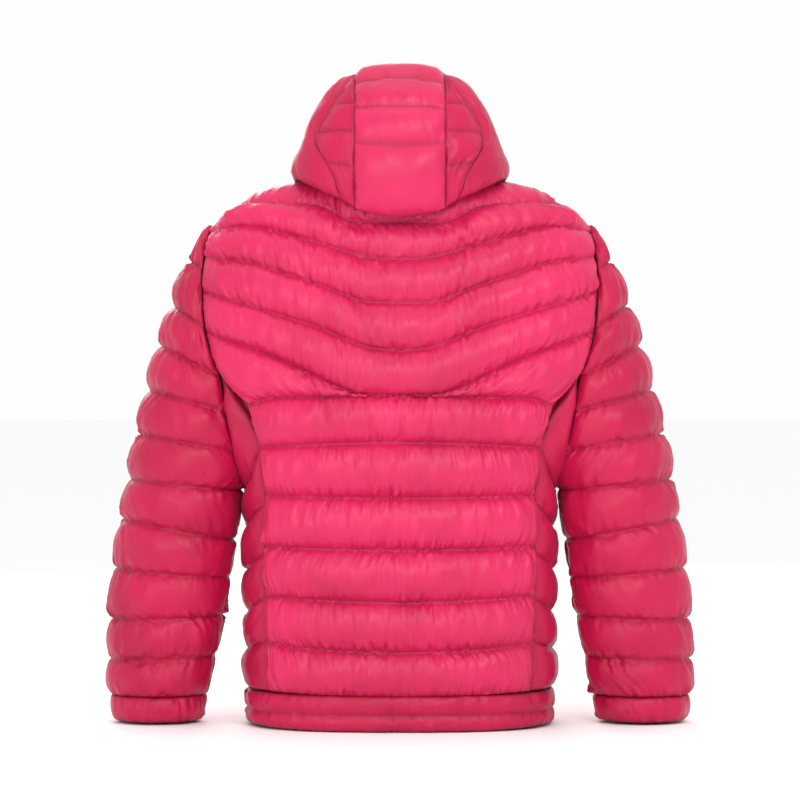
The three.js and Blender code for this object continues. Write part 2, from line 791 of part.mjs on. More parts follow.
function add(name, solid, finish) {
  const mesh = solid.getMesh();
  const geometry = new THREE.BufferGeometry();
  geometry.setAttribute('position', new THREE.BufferAttribute(Float32Array.from(mesh.vertProperties), 3));
  geometry.setIndex(Array.from(mesh.triVerts));
  geometry.computeVertexNormals();
  const piece = new THREE.Mesh(geometry, new THREE.MeshStandardMaterial(finish));
  piece.name = name;
  jacket.add(piece);
}

for (const [name, solid] of Object.entries(bodyPanels())) {
  add(name, solid, finishes.shell);
}
add('body_lining', bodyLining(), finishes.lining);
add('storm_flap', stormFlap(), finishes.shellDeep);
for (const [name, [solid, finish]] of Object.entries(sleevePieces())) {
  add(`${name}_left`, solid, finish);
  add(`${name}_right`, mirrored(solid), finish);
}
for (const [name, [solid, finish]] of Object.entries(hoodPieces())) {
  add(name, solid, finish);
}
add('collar', collar(), finishes.shellDeep);
add('hang_loop', hangLoop(), finishes.tape);
add('chin_guard', chinGuard(), finishes.lining);
for (const [name, [solid, finish]] of Object.entries(frontZip())) {
  add(name, solid, finish);
}
for (const [name, [solid, finish]] of Object.entries(pocketZip())) {
  add(`pocket_zip_${name}_left`, solid, finish);
  add(`pocket_zip_${name}_right`, mirrored(solid), finish);
}
const bag = pocketBag();
add('pocket_bag_left', bag, finishes.lining);
add('pocket_bag_right', mirrored(bag), finishes.lining);

export default jacket;
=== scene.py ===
"""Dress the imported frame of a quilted, hooded ski jacket.

Every padded panel is a grid laid on the jacket's seam surface and blown up by a small cloth
solver, so that the cloth, which is cut longer than the seams that hold it, gathers along them.
"""

import json
import logging
from dataclasses import dataclass, field
from enum import Enum
from typing import Callable, Sequence

import bpy
import numpy as np
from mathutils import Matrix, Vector


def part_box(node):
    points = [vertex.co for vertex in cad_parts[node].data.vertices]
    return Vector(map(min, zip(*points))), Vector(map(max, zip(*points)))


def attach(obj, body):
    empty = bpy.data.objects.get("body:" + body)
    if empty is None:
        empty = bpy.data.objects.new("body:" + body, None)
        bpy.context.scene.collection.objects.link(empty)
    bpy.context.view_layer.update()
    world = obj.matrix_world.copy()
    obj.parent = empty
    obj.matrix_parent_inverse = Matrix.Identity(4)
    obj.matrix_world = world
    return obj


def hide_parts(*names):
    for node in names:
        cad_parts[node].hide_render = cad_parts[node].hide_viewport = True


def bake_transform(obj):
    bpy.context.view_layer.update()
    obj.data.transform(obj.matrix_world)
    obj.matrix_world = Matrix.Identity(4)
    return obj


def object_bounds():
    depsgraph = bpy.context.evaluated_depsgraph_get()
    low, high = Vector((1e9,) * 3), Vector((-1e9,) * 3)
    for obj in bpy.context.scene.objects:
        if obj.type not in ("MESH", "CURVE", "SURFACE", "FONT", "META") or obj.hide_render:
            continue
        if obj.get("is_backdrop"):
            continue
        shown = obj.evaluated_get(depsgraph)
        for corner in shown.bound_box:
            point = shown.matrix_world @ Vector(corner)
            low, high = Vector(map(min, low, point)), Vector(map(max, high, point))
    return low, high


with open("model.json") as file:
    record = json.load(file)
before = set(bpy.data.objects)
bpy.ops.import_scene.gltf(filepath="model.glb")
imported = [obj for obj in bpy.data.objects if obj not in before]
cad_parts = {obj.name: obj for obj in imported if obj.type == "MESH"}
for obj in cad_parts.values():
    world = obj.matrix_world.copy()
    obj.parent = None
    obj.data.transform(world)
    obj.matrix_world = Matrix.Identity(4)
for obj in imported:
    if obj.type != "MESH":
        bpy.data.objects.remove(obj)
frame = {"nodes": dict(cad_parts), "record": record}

logging.basicConfig(level=logging.INFO, format="%(message)s")
LOG = logging.getLogger("jacket")

Array = np.ndarray
CAD_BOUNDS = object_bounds()
BODY = "jacket_body"
SQUARE = 2.6  # squareness of the body's level sections; 2 is an ellipse


class Side(Enum):
    """Which half of the jacket a piece belongs to."""

    LEFT = 1
    RIGHT = -1

    @property
    def word(self) -> str:
        """The side's name in lower case."""
        return self.name.lower()


# ---------------------------------------------------------------------------------------------
# Numbers along a line
# ---------------------------------------------------------------------------------------------


def through(points: Sequence[tuple[float, float]]) -> Callable[[Array], Array]:
    """A smooth curve y(x) through a few points, flat beyond both ends.

    Each stretch is a cubic whose end slopes are the mean of the neighbouring chords' slopes.

    Args:
        points: Pairs (x, y) with x rising.

    Returns:
        A function of an array of x.
    """
    xs, ys = np.array(points, float).T
    chords = np.diff(ys) / np.diff(xs)
    slopes = np.concatenate([chords[:1], (chords[:-1] + chords[1:]) / 2, chords[-1:]])

    def curve(x: Array) -> Array:
        x = np.clip(x, xs[0], xs[-1])
        i = np.clip(np.searchsorted(xs, x) - 1, 0, len(xs) - 2)
        step = xs[i + 1] - xs[i]
        t = (x - xs[i]) / step
        return (
            ys[i] * (2 * t**3 - 3 * t**2 + 1)
            + ys[i + 1] * (3 * t**2 - 2 * t**3)
            + step * (slopes[i] * (t**3 - 2 * t**2 + t) + slopes[i + 1] * (t**3 - t**2))
        )

    return curve


def spaced(curve: Array, counts: Sequence[int], knots: Sequence[float] = ()) -> Array:
    """Resample a curve of points evenly between knots given as shares of its X run.

    Args:
        curve: Points, shaped (samples, 3).
        counts: Cells wanted in each stretch between knots.
        knots: X of each inner knot, one fewer than counts.

    Returns:
        Points shaped (sum(counts) + 1, 3).
    """
    steps = np.linalg.norm(np.diff(curve, axis=0), axis=1)
    length = np.concatenate([[0.0], np.cumsum(steps)])
    marks = [0.0] + [float(np.interp(x, curve[:, 0], length)) for x in knots] + [length[-1]]
    wanted = [np.linspace(m, n, c, endpoint=False) for m, n, c in zip(marks, marks[1:], counts)]
    wanted = np.concatenate(wanted + [[length[-1]]])
    return np.stack([np.interp(wanted, length, curve[:, k]) for k in range(3)], axis=1)


@dataclass
class Row:
    """One row of a panel: a curve, the cells up to the next row, and whether it is sewn."""

    curve: Array
    cells: int = 0
    sewn: bool = True
    knots: tuple[float, ...] = ()


def lofted(rows: Sequence[Row], counts: Sequence[int]) -> tuple[Array, list[int]]:
    """A grid of points through a panel's rows.

    Down each column the points follow cubics whose slopes are the harmonic mean of the chords on
    both sides, or zero where these have opposite signs, so that no stretch overshoots its rows.

    Args:
        rows: The rows in order; the last one's cells are not used.
        counts: Cells across, between the rows' knots.

    Returns:
        The grid and the indices of its sewn rows.
    """
    points = np.stack([spaced(row.curve, counts, row.knots) for row in rows])
    heights = np.linalg.norm(np.diff(points, axis=0), axis=2).mean(axis=1)
    chords = np.diff(points, axis=0) / heights[:, None, None]
    low, high = chords[:-1], chords[1:]
    agree = low * high > 0
    total = np.where(agree, low + high, 1.0)
    inner = np.where(agree, 2 * low * high / total, 0.0)
    slopes = np.concatenate([chords[:1], inner, chords[-1:]])
    grid, sewn, at = [], [], 0
    for i, row in enumerate(rows[:-1]):
        t = (np.arange(row.cells) / row.cells)[:, None, None]
        grid.append(
            points[i] * (2 * t**3 - 3 * t**2 + 1)
            + points[i + 1] * (3 * t**2 - 2 * t**3)
            + heights[i] * (slopes[i] * (t**3 - 2 * t**2 + t) + slopes[i + 1] * (t**3 - t**2))
        )
        if row.sewn:
            sewn.append(at)
        at += row.cells
    grid.append(points[-1:])
    return np.concatenate(grid), sewn + ([at] if rows[-1].sewn else [])


def unit(vectors: Array) -> Array:
    """Vectors brought to length 1."""
    return vectors / np.maximum(np.linalg.norm(vectors, axis=-1, keepdims=True), 1e-12)


def grid_normals(grid: Array) -> Array:
    """Unit normals of a grid of points, from the cross product of its two directions.

    Args:
        grid: Points, shaped (rows, columns, 3).

    Returns:
        Unit vectors of the same shape.
    """
    return unit(np.cross(np.gradient(grid, axis=1), np.gradient(grid, axis=0)))


# ---------------------------------------------------------------------------------------------
# Cloth
# ---------------------------------------------------------------------------------------------


@dataclass
class Cloth:
    """A rectangular grid of cloth held along its seams and pushed out by its filling.

    Attributes:
        across_ease: Cloth length along a row over the length of the row it is sewn to.
        along_ease: The same along a column.
        push: How far the filling moves a free point in one step, before the cloth holds it; less
            where the cells are shorter than 2.4 mm.
        steps: Steps of the solver.
        sink: How far a point may move in behind the seam surface.
        bend: How strongly the cloth resists a fold of two cells, 0 to 1.
    """

    across_ease: float = 1.06
    along_ease: float = 1.045
    push: float = 2.0e-5
    steps: int = 150
    sink: float = 0.0015
    bend: float = 0.04

    def blow(self, base: Array, normal: Array, held: Array, start: Array, calm: Array) -> Array:
        """Let the cloth settle.

        Each step moves every point on by its last motion and by the filling's push along its
        normal, and then brings each pair of neighbours back to their cloth length.

        Args:
            base: Seam surface, shaped (rows, columns, 3).
            normal: Its outward unit normals.
            held: True where a seam holds the point.
            start: Starting height of each point over the seam surface.
            calm: Share of the ease and of the push that each point has, 0 to 1.

        Returns:
            The settled points.
        """
        share = calm[..., None]
        along_row = np.diff(base, axis=1) * (1 + (self.across_ease - 1) * share[:, 1:])
        down = np.diff(base, axis=0) * (1 + (self.along_ease - 1) * share[1:])
        across, along = np.linalg.norm(along_row, axis=2), np.linalg.norm(down, axis=2)
        a, b = (along_row[:-1] + along_row[1:]) / 2, (down[:, :-1] + down[:, 1:]) / 2
        slants = np.linalg.norm(b + a, axis=2), np.linalg.norm(b - a, axis=2)
        short = np.minimum(np.concatenate([along[:1], along]), np.concatenate([along, along[-1:]]))
        push = self.push * share * np.clip(short / 0.0024, 0.05, 1)[..., None] ** 2
        free = (~held).astype(float)[..., None]
        now = base + normal * start[..., None]
        last = now.copy()
        turn = 1.0 if np.sum(grid_normals(base) * normal) > 0 else -1.0
        pairs = list(self.batches(across, along, slants))
        for _ in range(self.steps):
            moved = (now - last) * 0.96 + turn * grid_normals(now) * push
            last = now.copy()
            now = now + moved * free
            for here, there, rest, strength in pairs:
                self.pull(now, free, here, there, rest, strength)
            height = np.sum((now - base) * normal, axis=2, keepdims=True)
            now += normal * np.maximum(-self.sink - height, 0) * free
        return now

    def batches(self, across: Array, along: Array, slants: tuple[Array, Array]):
        """Pairs of neighbours in groups in which no point comes twice.

        Args:
            across: Cloth lengths along the rows.
            along: Cloth lengths along the columns.
            slants: Cloth lengths of the cells' two diagonals.

        Yields:
            Two grid slices, the cloth lengths between them, and a strength from 0 to 1.
        """
        full = slice(None)
        for odd in (0, 1):
            width = across.shape[1]
            a, b = slice(odd, width, 2), slice(odd + 1, width + 1, 2)
            yield (full, a), (full, b), across[:, a], 1.0
            height = along.shape[0]
            a, b = slice(odd, height, 2), slice(odd + 1, height + 1, 2)
            yield (a, full), (b, full), along[a], 1.0
        for odd in (0, 1):
            height, width = slants[0].shape
            low, high = slice(odd, height, 2), slice(odd + 1, height + 1, 2)
            left, right = slice(0, width), slice(1, width + 1)
            yield (low, left), (high, right), slants[0][low], 0.3
            yield (low, right), (high, left), slants[1][low], 0.3
        for first in range(4):
            two = across[:, :-1] + across[:, 1:]
            a = slice(first, two.shape[1], 4)
            b = slice(first + 2, two.shape[1] + 2, 4)
            yield (full, a), (full, b), two[:, a], self.bend
            two = along[:-1] + along[1:]
            a = slice(first, two.shape[0], 4)
            b = slice(first + 2, two.shape[0] + 2, 4)
            yield (a, full), (b, full), two[a], self.bend

    @staticmethod
    def pull(now: Array, free: Array, here, there, rest: Array, strength: float) -> None:
        """Move both points of each pair along the line between them, by how free each is."""
        gap = now[there] - now[here]
        length = np.maximum(np.linalg.norm(gap, axis=2, keepdims=True), 1e-9)
        give = free[here] + free[there]
        move = gap * (strength * (1 - rest[..., None] / length) / np.maximum(give, 1))
        now[here] += move * free[here]
        now[there] -= move * free[there]


@dataclass
class Quilt:
    """One padded panel: its seam surface and where its seams run.

    Attributes:
        name: Name of the piece.
        base: Points of the outer surface, shaped (rows, columns, 3).
        seam_rows: Rows that are sewn.
        seam_columns: Columns that are sewn.
        inside: A point inside the garment, from which outward is told.
        puff: Height of the filling at the middle of a baffle, before the cloth settles.
        sunk: How far the seams lie under the outer surface.
        depth: How far the backing lies under the outer surface.
        cloth: The cloth it is cut from.
        seed: Seed of the small unevenness that starts the gathers.
        crosses_middle: True where column 0 lies in the jacket's middle plane.
        pressed: True at points that are held down as well.
        kept: True for each cell that exists, where the panel has a hole.
        calm: Share of the filling that each point has, 0 to 1.
    """

    name: str
    base: Array
    seam_rows: list[int]
    seam_columns: list[int]
    inside: tuple[float, float, float]
    puff: float = 0.007
    sunk: float = 0.0024
    depth: float = 0.012
    cloth: Cloth = field(default_factory=Cloth)
    seed: int = 1
    crosses_middle: bool = False
    pressed: Array | None = None
    kept: Array | None = None
    calm: Array | None = None

    def settled(self) -> "Skin":
        """Blow the panel up.

        Returns:
            The panel's skin, with how far each point is from a seam.
        """
        rows, columns = self.base.shape[:2]
        normal = grid_normals(self.base)
        outward = np.sum(normal * (self.base - np.array(self.inside))) > 0
        normal = normal if outward else -normal
        held = np.zeros((rows, columns), bool)
        held[self.seam_rows] = True
        held[:, self.seam_columns] = True
        if self.pressed is not None:
            held |= self.pressed
        distance = seam_distance(self.base, held)
        rng = np.random.default_rng(self.seed)
        calm = np.ones((rows, columns)) if self.calm is None else self.calm
        calm = calm * np.clip(0.031 / np.maximum(distance, 1e-4), 0.35, 1) ** 2
        full = np.clip(distance / 0.028, 0, 1)
        start = self.puff * np.sqrt(np.clip(1 - (1 - full) ** 2, 0, 1))
        shape = (rows, columns)
        start += soft_noise(rng, shape, (9, 4)) * 0.0022 * np.clip(distance / 0.005, 0, 1)
        start += soft_noise(rng, shape, (5, 2)) * 0.0012 * np.clip(distance / 0.003, 0, 1)
        start *= calm
        seam = self.base - normal * (self.sunk * calm[..., None])
        seam += normal * (soft_noise(rng, shape, (5, 5)) * 0.0005)[..., None]
        skin = seam + normal * start[..., None]
        skin = self.blown(seam, normal, held, start, calm)
        if self.crosses_middle:
            skin[:, 0, 0] = 0.0
        LOG.info("%s settled, %d points", self.name, rows * columns)
        return Skin(self.name, skin, self.base - normal * self.depth, normal, distance, self.kept)

    def blown(self, seam: Array, normal: Array, held: Array, start: Array, calm: Array) -> Array:
        """The settled cloth; a middle column is doubled so that both halves pull on it alike."""
        if not self.crosses_middle:
            return self.cloth.blow(seam, normal, held, start, calm)
        flip = np.array([-1.0, 1.0, 1.0])
        reach = 12
        seam = np.concatenate([(seam * flip)[:, reach:0:-1], seam], axis=1)
        normal = np.concatenate([(normal * flip)[:, reach:0:-1], normal], axis=1)
        held = np.concatenate([held[:, reach:0:-1], held], axis=1)
        start = np.concatenate([start[:, reach:0:-1], start], axis=1)
        calm = np.concatenate([calm[:, reach:0:-1], calm], axis=1)
        return self.cloth.blow(seam, normal, held, start, calm)[:, reach:]


def seam_distance(base: Array, held: Array) -> Array:
    """Distance of each grid point to the nearest held point along its row or its column."""
    across = np.linalg.norm(np.diff(base, axis=1), axis=2)
    along = np.linalg.norm(np.diff(base, axis=0), axis=2)
    distance = np.where(held, 0.0, 1.0)
    for c in range(1, held.shape[1]):
        distance[:, c] = np.minimum(distance[:, c], distance[:, c - 1] + across[:, c - 1])
    for c in range(held.shape[1] - 2, -1, -1):
        distance[:, c] = np.minimum(distance[:, c], distance[:, c + 1] + across[:, c])
    for r in range(1, held.shape[0]):
        distance[r] = np.minimum(distance[r], distance[r - 1] + along[r - 1])
    for r in range(held.shape[0] - 2, -1, -1):
        distance[r] = np.minimum(distance[r], distance[r + 1] + along[r])
    return distance


def soft_noise(rng: np.random.Generator, shape: tuple[int, int], reach: tuple[int, int]) -> Array:
    """Random values on a grid, averaged over a few cells each way and scaled to a spread of 1."""
    values = rng.standard_normal((shape[0] + 2 * reach[0], shape[1] + 2 * reach[1]))
    for axis in (0, 1):
        for _ in range(2):
            total = np.cumsum(values, axis=axis)
            ends = np.arange(reach[axis] // 2 + 1, total.shape[axis])
            starts = np.arange(0, total.shape[axis] - reach[axis] // 2 - 1)
            values = np.take(total, ends, axis=axis) - np.take(total, starts, axis=axis)
    return values[: shape[0], : shape[1]] / max(values.std(), 1e-9)


@dataclass
class Skin:
    """A grid of cloth with a backing: its points and what its material reads."""

    name: str
    face: Array
    back: Array
    normal: Array
    distance: Array
    kept: Array | None = None

    def on_side(self, side: Side, name: str = "") -> "Skin":
        """A copy of this left-hand panel for one side of the jacket."""
        flip = np.array([side.value, 1.0, 1.0])
        return Skin(
            name, self.face * flip, self.back * flip, self.normal * flip, self.distance, self.kept
        )

    def with_mirror(self) -> "Skin":
        """Both halves of a panel that crosses the middle, as one grid."""
        other = self.on_side(Side.RIGHT)

        def both(right: Array, left: Array) -> Array:
            return np.concatenate([right[:, :0:-1], left], axis=1)

        kept = None
        if self.kept is not None:
            kept = np.concatenate([self.kept[:, ::-1], self.kept], axis=1)
        return Skin(
            self.name,
            both(other.face, self.face),
            both(other.back, self.back),
            both(other.normal, self.normal),
            both(other.distance, self.distance),
            kept,
        )

    def columns(self, name: str, first: int, last: int) -> "Skin":
        """The part of the panel between two of its columns, both included."""
        part = slice(first, last + 1)
        kept = None if self.kept is None else self.kept[:, first:last]
        return Skin(
            name,
            self.face[:, part],
            self.back[:, part],
            self.normal[:, part],
            self.distance[:, part],
            kept,
        )

    def puckered(self, seed: int, depth: float = 0.0011) -> "Skin":
        """Gather the cloth along its seams.

        The puckers run down from the seams: noise that is long along a column and narrow along a
        row, leaning one way and the other, strongest a few millimetres from a seam and fading
        over the baffle, with a fainter, coarser set all over it.

        Args:
            seed: Seed of the noise.
            depth: Spread of the puckers' height, in metres.

        Returns:
            The gathered skin.
        """
        rng = np.random.default_rng(seed)
        rows, columns = self.distance.shape
        lean = np.cumsum(soft_noise(rng, (rows, 1), (21, 1))[:, 0]) * 0.35
        shift = (np.arange(columns)[None] + np.round(lean)[:, None].astype(int)) % columns
        fine = soft_noise(rng, (rows, columns), (13, 3))
        fine = np.take_along_axis(fine, shift, axis=1)
        coarse = soft_noise(rng, (rows, columns), (17, 11))
        near = np.clip(self.distance / 0.004, 0, 1) * np.exp(-self.distance / 0.013)
        patchy = np.clip(0.75 + 0.5 * soft_noise(rng, (rows, columns), (15, 41)), 0.15, 1.6)
        all_over = np.clip(self.distance / 0.012, 0, 1)
        height = depth * (1.9 * fine * near * patchy + 0.75 * coarse * all_over)
        self.face = self.face + self.normal * height[..., None]
        return self

    def arrays(self) -> tuple[Array, Array, Array, Array]:
        """The closed mesh: face, backing, and a wall along every open edge.

        Returns:
            Points, faces, the seam attribute and a UV pair in metres for each point.
        """
        rows, columns = self.face.shape[:2]
        size = rows * columns
        index = np.arange(size).reshape(rows, columns)
        quads = np.stack([index[:-1, :-1], index[:-1, 1:], index[1:, 1:], index[1:, :-1]], axis=-1)
        quads = quads[self.kept] if self.kept is not None else quads.reshape(-1, 4)
        if np.sum(grid_normals(self.back) * self.normal) < 0:
            quads = quads[:, ::-1]
        quads = quads[:, ::-1]
        start, end = quads.ravel(), np.roll(quads, -1, axis=1).ravel()
        rim = ~np.isin(start * size + end, end * size + start)
        start, end = start[rim], end[rim]
        walls = np.stack([end, start, start + size, end + size], axis=-1)
        faces = np.concatenate([quads, quads[:, ::-1] + size, walls])
        points = np.concatenate([self.face.reshape(-1, 3), self.back.reshape(-1, 3)])
        across = np.cumsum(np.linalg.norm(np.gradient(self.back, axis=1), axis=2), axis=1)
        along = np.cumsum(np.linalg.norm(np.gradient(self.back, axis=0), axis=2), axis=0)
        flat = np.stack([across, along], axis=-1).reshape(-1, 2)
        # Nearness to a seam, which the cloth materials read to paint shade along the seams.
        seam = np.exp(-self.distance / 0.003).ravel()
        used = np.unique(faces)
        renumber = np.zeros(2 * size, int)
        renumber[used] = np.arange(len(used))
        seam = np.concatenate([seam, np.ones(size)])[used]
        return points[used], renumber[faces], seam, np.concatenate([flat, flat])[used]

    def build(self, *more: "Skin") -> bpy.types.Object:
        """Make the object, together with any further skins that are cut from the same piece.

        Args:
            more: The further skins.

        Returns:
            The new object, with a UV map in metres and a seam attribute that drives painted seam
            shade.
        """
        parts = [skin.arrays() for skin in (self, *more)]
        shift = np.cumsum([0] + [len(part[0]) for part in parts])
        faces = np.concatenate([part[1] + start for part, start in zip(parts, shift)])
        mesh = mesh_of(self.name, np.concatenate([part[0] for part in parts]), faces)
        add_attribute(mesh, "seam", np.concatenate([part[2] for part in parts]))
        add_attribute(mesh, "gather", np.concatenate([part[2] for part in parts]) ** 0.22)
        add_uv(mesh, np.concatenate([part[3] for part in parts]), faces)
        return link(self.name, mesh)


# ---------------------------------------------------------------------------------------------
# Meshes
# ---------------------------------------------------------------------------------------------


def mesh_of(name: str, points: Array, faces: Array) -> bpy.types.Mesh:
    """A smooth mesh from points and faces that all have the same number of corners.

    Args:
        name: Name of the mesh.
        points: Shaped (n, 3).
        faces: Point indices, shaped (m, corners).

    Returns:
        The mesh.
    """
    mesh = bpy.data.meshes.new(name)
    corners = faces.shape[1]
    mesh.vertices.add(len(points))
    mesh.vertices.foreach_set("co", points.astype(np.float32).ravel())
    mesh.loops.add(faces.size)
    mesh.loops.foreach_set("vertex_index", faces.astype(np.int32).ravel())
    mesh.polygons.add(len(faces))
    mesh.polygons.foreach_set("loop_start", np.arange(0, faces.size, corners, dtype=np.int32))
    mesh.polygons.foreach_set("use_smooth", np.ones(len(faces), bool))
    mesh.update(calc_edges=True)
    mesh.validate()
    return mesh


def add_attribute(mesh: bpy.types.Mesh, name: str, values: Array) -> None:
    """Store one number for each point."""
    mesh.attributes.new(name, "FLOAT", "POINT").data.foreach_set("value", values.astype(np.float32))


def add_uv(mesh: bpy.types.Mesh, flat: Array, faces: Array) -> None:
    """Store a UV map given one pair of metres for each point."""
    layer = mesh.uv_layers.new(name="cloth")
    layer.data.foreach_set("uv", flat[faces.ravel()].astype(np.float32).ravel())


def link(name: str, mesh: bpy.types.Mesh) -> bpy.types.Object:
    """Put a mesh in the scene as an object of the given name."""
    piece = bpy.data.objects.new(name, mesh)
    bpy.context.scene.collection.objects.link(piece)
    return piece


# ---------------------------------------------------------------------------------------------
# Finishes
# ---------------------------------------------------------------------------------------------


@dataclass(frozen=True)
class Finish:
    """One cloth or hard finish.

    Attributes:
        name: Name of the material.
        colour: Base colour, linear RGB.
        shade: Painted shade colour along the seams, and the low spots of the random colour
            variation.
        roughness: Middle roughness.
        sheen: Sheen weight; nylon shows a pale sheen at grazing angles.
        weave: Threads to the metre; 0 for a hard finish.
        crease: Depth of the fine creases, in metres.
        metal: 1 for metal.
        gloss: Strength of the reflection, 0.5 for plain plastic.
    """

    name: str
    colour: tuple[float, float, float]
    shade: tuple[float, float, float]
    roughness: float = 0.4
    sheen: float = 0.0
    weave: float = 0.0
    crease: float = 0.0
    metal: float = 0.0
    gloss: float = 0.5

    def material(self) -> bpy.types.Material:
        """Build the material once and return it every time after."""
        made = bpy.data.materials.get(self.name)
        if made:
            return made
        made = bpy.data.materials.new(self.name)
        made.use_nodes = True
        nodes, links = made.node_tree.nodes, made.node_tree.links
        shader = nodes["Principled BSDF"]
        shader.inputs["Metallic"].default_value = self.metal
        shader.inputs["Specular IOR Level"].default_value = self.gloss
        shader.inputs["Sheen Weight"].default_value = self.sheen
        shader.inputs["Sheen Roughness"].default_value = 0.35
        shader.inputs["Sheen Tint"].default_value = (0.85, 0.62, 0.9, 1)
        place = nodes.new("ShaderNodeTexCoord")
        tone = self.noise(nodes, links, place.outputs["Object"], 9.0, 4.0)
        mix = nodes.new("ShaderNodeMix")
        mix.data_type = "RGBA"
        mix.inputs[6].default_value = (*self.colour, 1)
        mix.inputs[7].default_value = (*self.shade, 1)
        amount = self.ranged(nodes, links, tone, 0.42, 0.75, 0.0, 0.45)
        # Painted shade: the seam attribute pulls the colour toward the shade colour along the
        # seams.
        if self.weave:
            seam = nodes.new("ShaderNodeAttribute")
            seam.attribute_name = "seam"
            add = nodes.new("ShaderNodeMath")
            add.operation = "MULTIPLY_ADD"
            add.use_clamp = True
            links.new(seam.outputs["Fac"], add.inputs[0])
            add.inputs[1].default_value = 0.55
            links.new(amount, add.inputs[2])
            amount = add.outputs[0]
        links.new(amount, mix.inputs[0])
        links.new(mix.outputs[2], shader.inputs["Base Color"])
        wear = self.noise(nodes, links, place.outputs["Object"], 34.0, 5.0)
        low, high = self.roughness - 0.06, self.roughness + 0.08
        rough = self.ranged(nodes, links, wear, 0.3, 0.7, low, high)
        links.new(rough, shader.inputs["Roughness"])
        height = self.noise(nodes, links, place.outputs["Object"], 90.0, 6.0)
        bump = nodes.new("ShaderNodeBump")
        bump.inputs["Distance"].default_value = max(self.crease, 0.00005)
        bump.inputs["Strength"].default_value = 0.6
        links.new(height, bump.inputs["Height"])
        if self.weave:
            bump = self.gathers(nodes, links, place, bump)
            bump = self.threads(nodes, links, place, bump)
        links.new(bump.outputs["Normal"], shader.inputs["Normal"])
        return made

    @staticmethod
    def noise(nodes, links, where, scale: float, detail: float):
        """A noise texture's value at the given coordinates."""
        noise = nodes.new("ShaderNodeTexNoise")
        noise.inputs["Scale"].default_value = scale
        noise.inputs["Detail"].default_value = detail
        noise.inputs["Distortion"].default_value = 0.4
        links.new(where, noise.inputs["Vector"])
        return noise.outputs["Fac"]

    @staticmethod
    def ranged(nodes, links, value, low: float, high: float, out_low: float, out_high: float):
        """A value moved from one range to another and held inside it."""
        node = nodes.new("ShaderNodeMapRange")
        links.new(value, node.inputs["Value"])
        node.inputs["From Min"].default_value = low
        node.inputs["From Max"].default_value = high
        node.inputs["To Min"].default_value = out_low
        node.inputs["To Max"].default_value = out_high
        return node.outputs["Result"]

    def gathers(self, nodes, links, place, bump):
        """Add fine puckers that run straight away from the seams and fade over the baffle."""
        spread = nodes.new("ShaderNodeMapping")
        spread.inputs["Scale"].default_value = (150.0, 24.0, 1.0)
        links.new(place.outputs["UV"], spread.inputs["Vector"])
        height = self.noise(nodes, links, spread.outputs["Vector"], 1.0, 3.0)
        near = nodes.new("ShaderNodeAttribute")
        near.attribute_name = "gather"
        product = nodes.new("ShaderNodeMath")
        product.operation = "MULTIPLY"
        links.new(height, product.inputs[0])
        links.new(near.outputs["Fac"], product.inputs[1])
        node = nodes.new("ShaderNodeBump")
        node.inputs["Distance"].default_value = self.crease * 4.4
        node.inputs["Strength"].default_value = 0.75
        links.new(product.outputs[0], node.inputs["Height"])
        links.new(bump.outputs["Normal"], node.inputs["Normal"])
        return node

    def threads(self, nodes, links, place, bump):
        """Add the weave's two sets of threads under the creases."""
        node = nodes.new("ShaderNodeBump")
        node.inputs["Distance"].default_value = 0.00004
        node.inputs["Strength"].default_value = 0.5
        sets = []
        for direction in ("X", "Y"):
            wave = nodes.new("ShaderNodeTexWave")
            wave.bands_direction = direction
            wave.inputs["Scale"].default_value = self.weave / 20
            wave.inputs["Distortion"].default_value = 0.6
            links.new(place.outputs["UV"], wave.inputs["Vector"])
            sets.append(wave)
        both = nodes.new("ShaderNodeMath")
        both.operation = "MAXIMUM"
        links.new(sets[0].outputs["Fac"], both.inputs[0])
        links.new(sets[1].outputs["Fac"], both.inputs[1])
        links.new(both.outputs[0], node.inputs["Height"])
        links.new(bump.outputs["Normal"], node.inputs["Normal"])
        return node


SHELL = Finish(
    "shell_nylon", (0.60, 0.012, 0.088), (0.30, 0.002, 0.028), 0.42, 0.12, 5200, 0.0005, gloss=0.36
)
# Painted shade: a darker, duller copy of the shell nylon for pieces that lie low, turn away from
# the lamps or sit in shadow.
SHELL_SHADED = Finish(
    "shell_nylon_deep", (0.48, 0.006, 0.058), (0.24, 0.001, 0.020), 0.42, 0.08, 5200, 0.0005,
    gloss=0.28,
)
LINING = Finish(
    "lining_taffeta", (0.30, 0.014, 0.045), (0.18, 0.006, 0.026), 0.5, 0.15, 3600, 0.0004
)
TAPE = Finish("woven_tape", (0.30, 0.010, 0.040), (0.16, 0.004, 0.020), 0.8, 0.1, 1400, 0.0002)
TEETH = Finish("moulded_teeth", (0.42, 0.016, 0.055), (0.26, 0.008, 0.034), 0.35)
METAL = Finish("zinc_slider", (0.52, 0.53, 0.55), (0.30, 0.30, 0.32), 0.3, metal=1.0)
PULLER = Finish("moulded_puller", (0.16, 0.010, 0.030), (0.09, 0.006, 0.018), 0.5)


def dress(
    skin: Skin | Sequence[Skin],
    finish: Finish,
    body: str | Side,
    nodes: Sequence[str],
) -> bpy.types.Object:
    """Build a skin, give it its finish and put it on its body in place of its CAD nodes.

    Args:
        skin: The cloth, or all the skins that are cut from one piece.
        finish: Its finish.
        body: The body it moves with, or a side of the jacket for a piece that is baked in place on
            no body.
        nodes: CAD nodes that it stands for.

    Returns:
        The object.
    """
    first, *more = [skin] if isinstance(skin, Skin) else skin
    return placed(first.build(*more), finish, body, nodes)


def placed(
    piece: bpy.types.Object,
    finish: Finish,
    body: str | Side,
    nodes: Sequence[str],
) -> bpy.types.Object:
    """Give an object its finish and put it on its body; the arguments are those of dress."""
    piece.data.materials.append(finish.material())
    if isinstance(body, Side):
        bend_at_armhole(piece)
    else:
        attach(piece, body)
    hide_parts(*nodes)
    return piece


# ---------------------------------------------------------------------------------------------
# The jacket's surfaces
# ---------------------------------------------------------------------------------------------

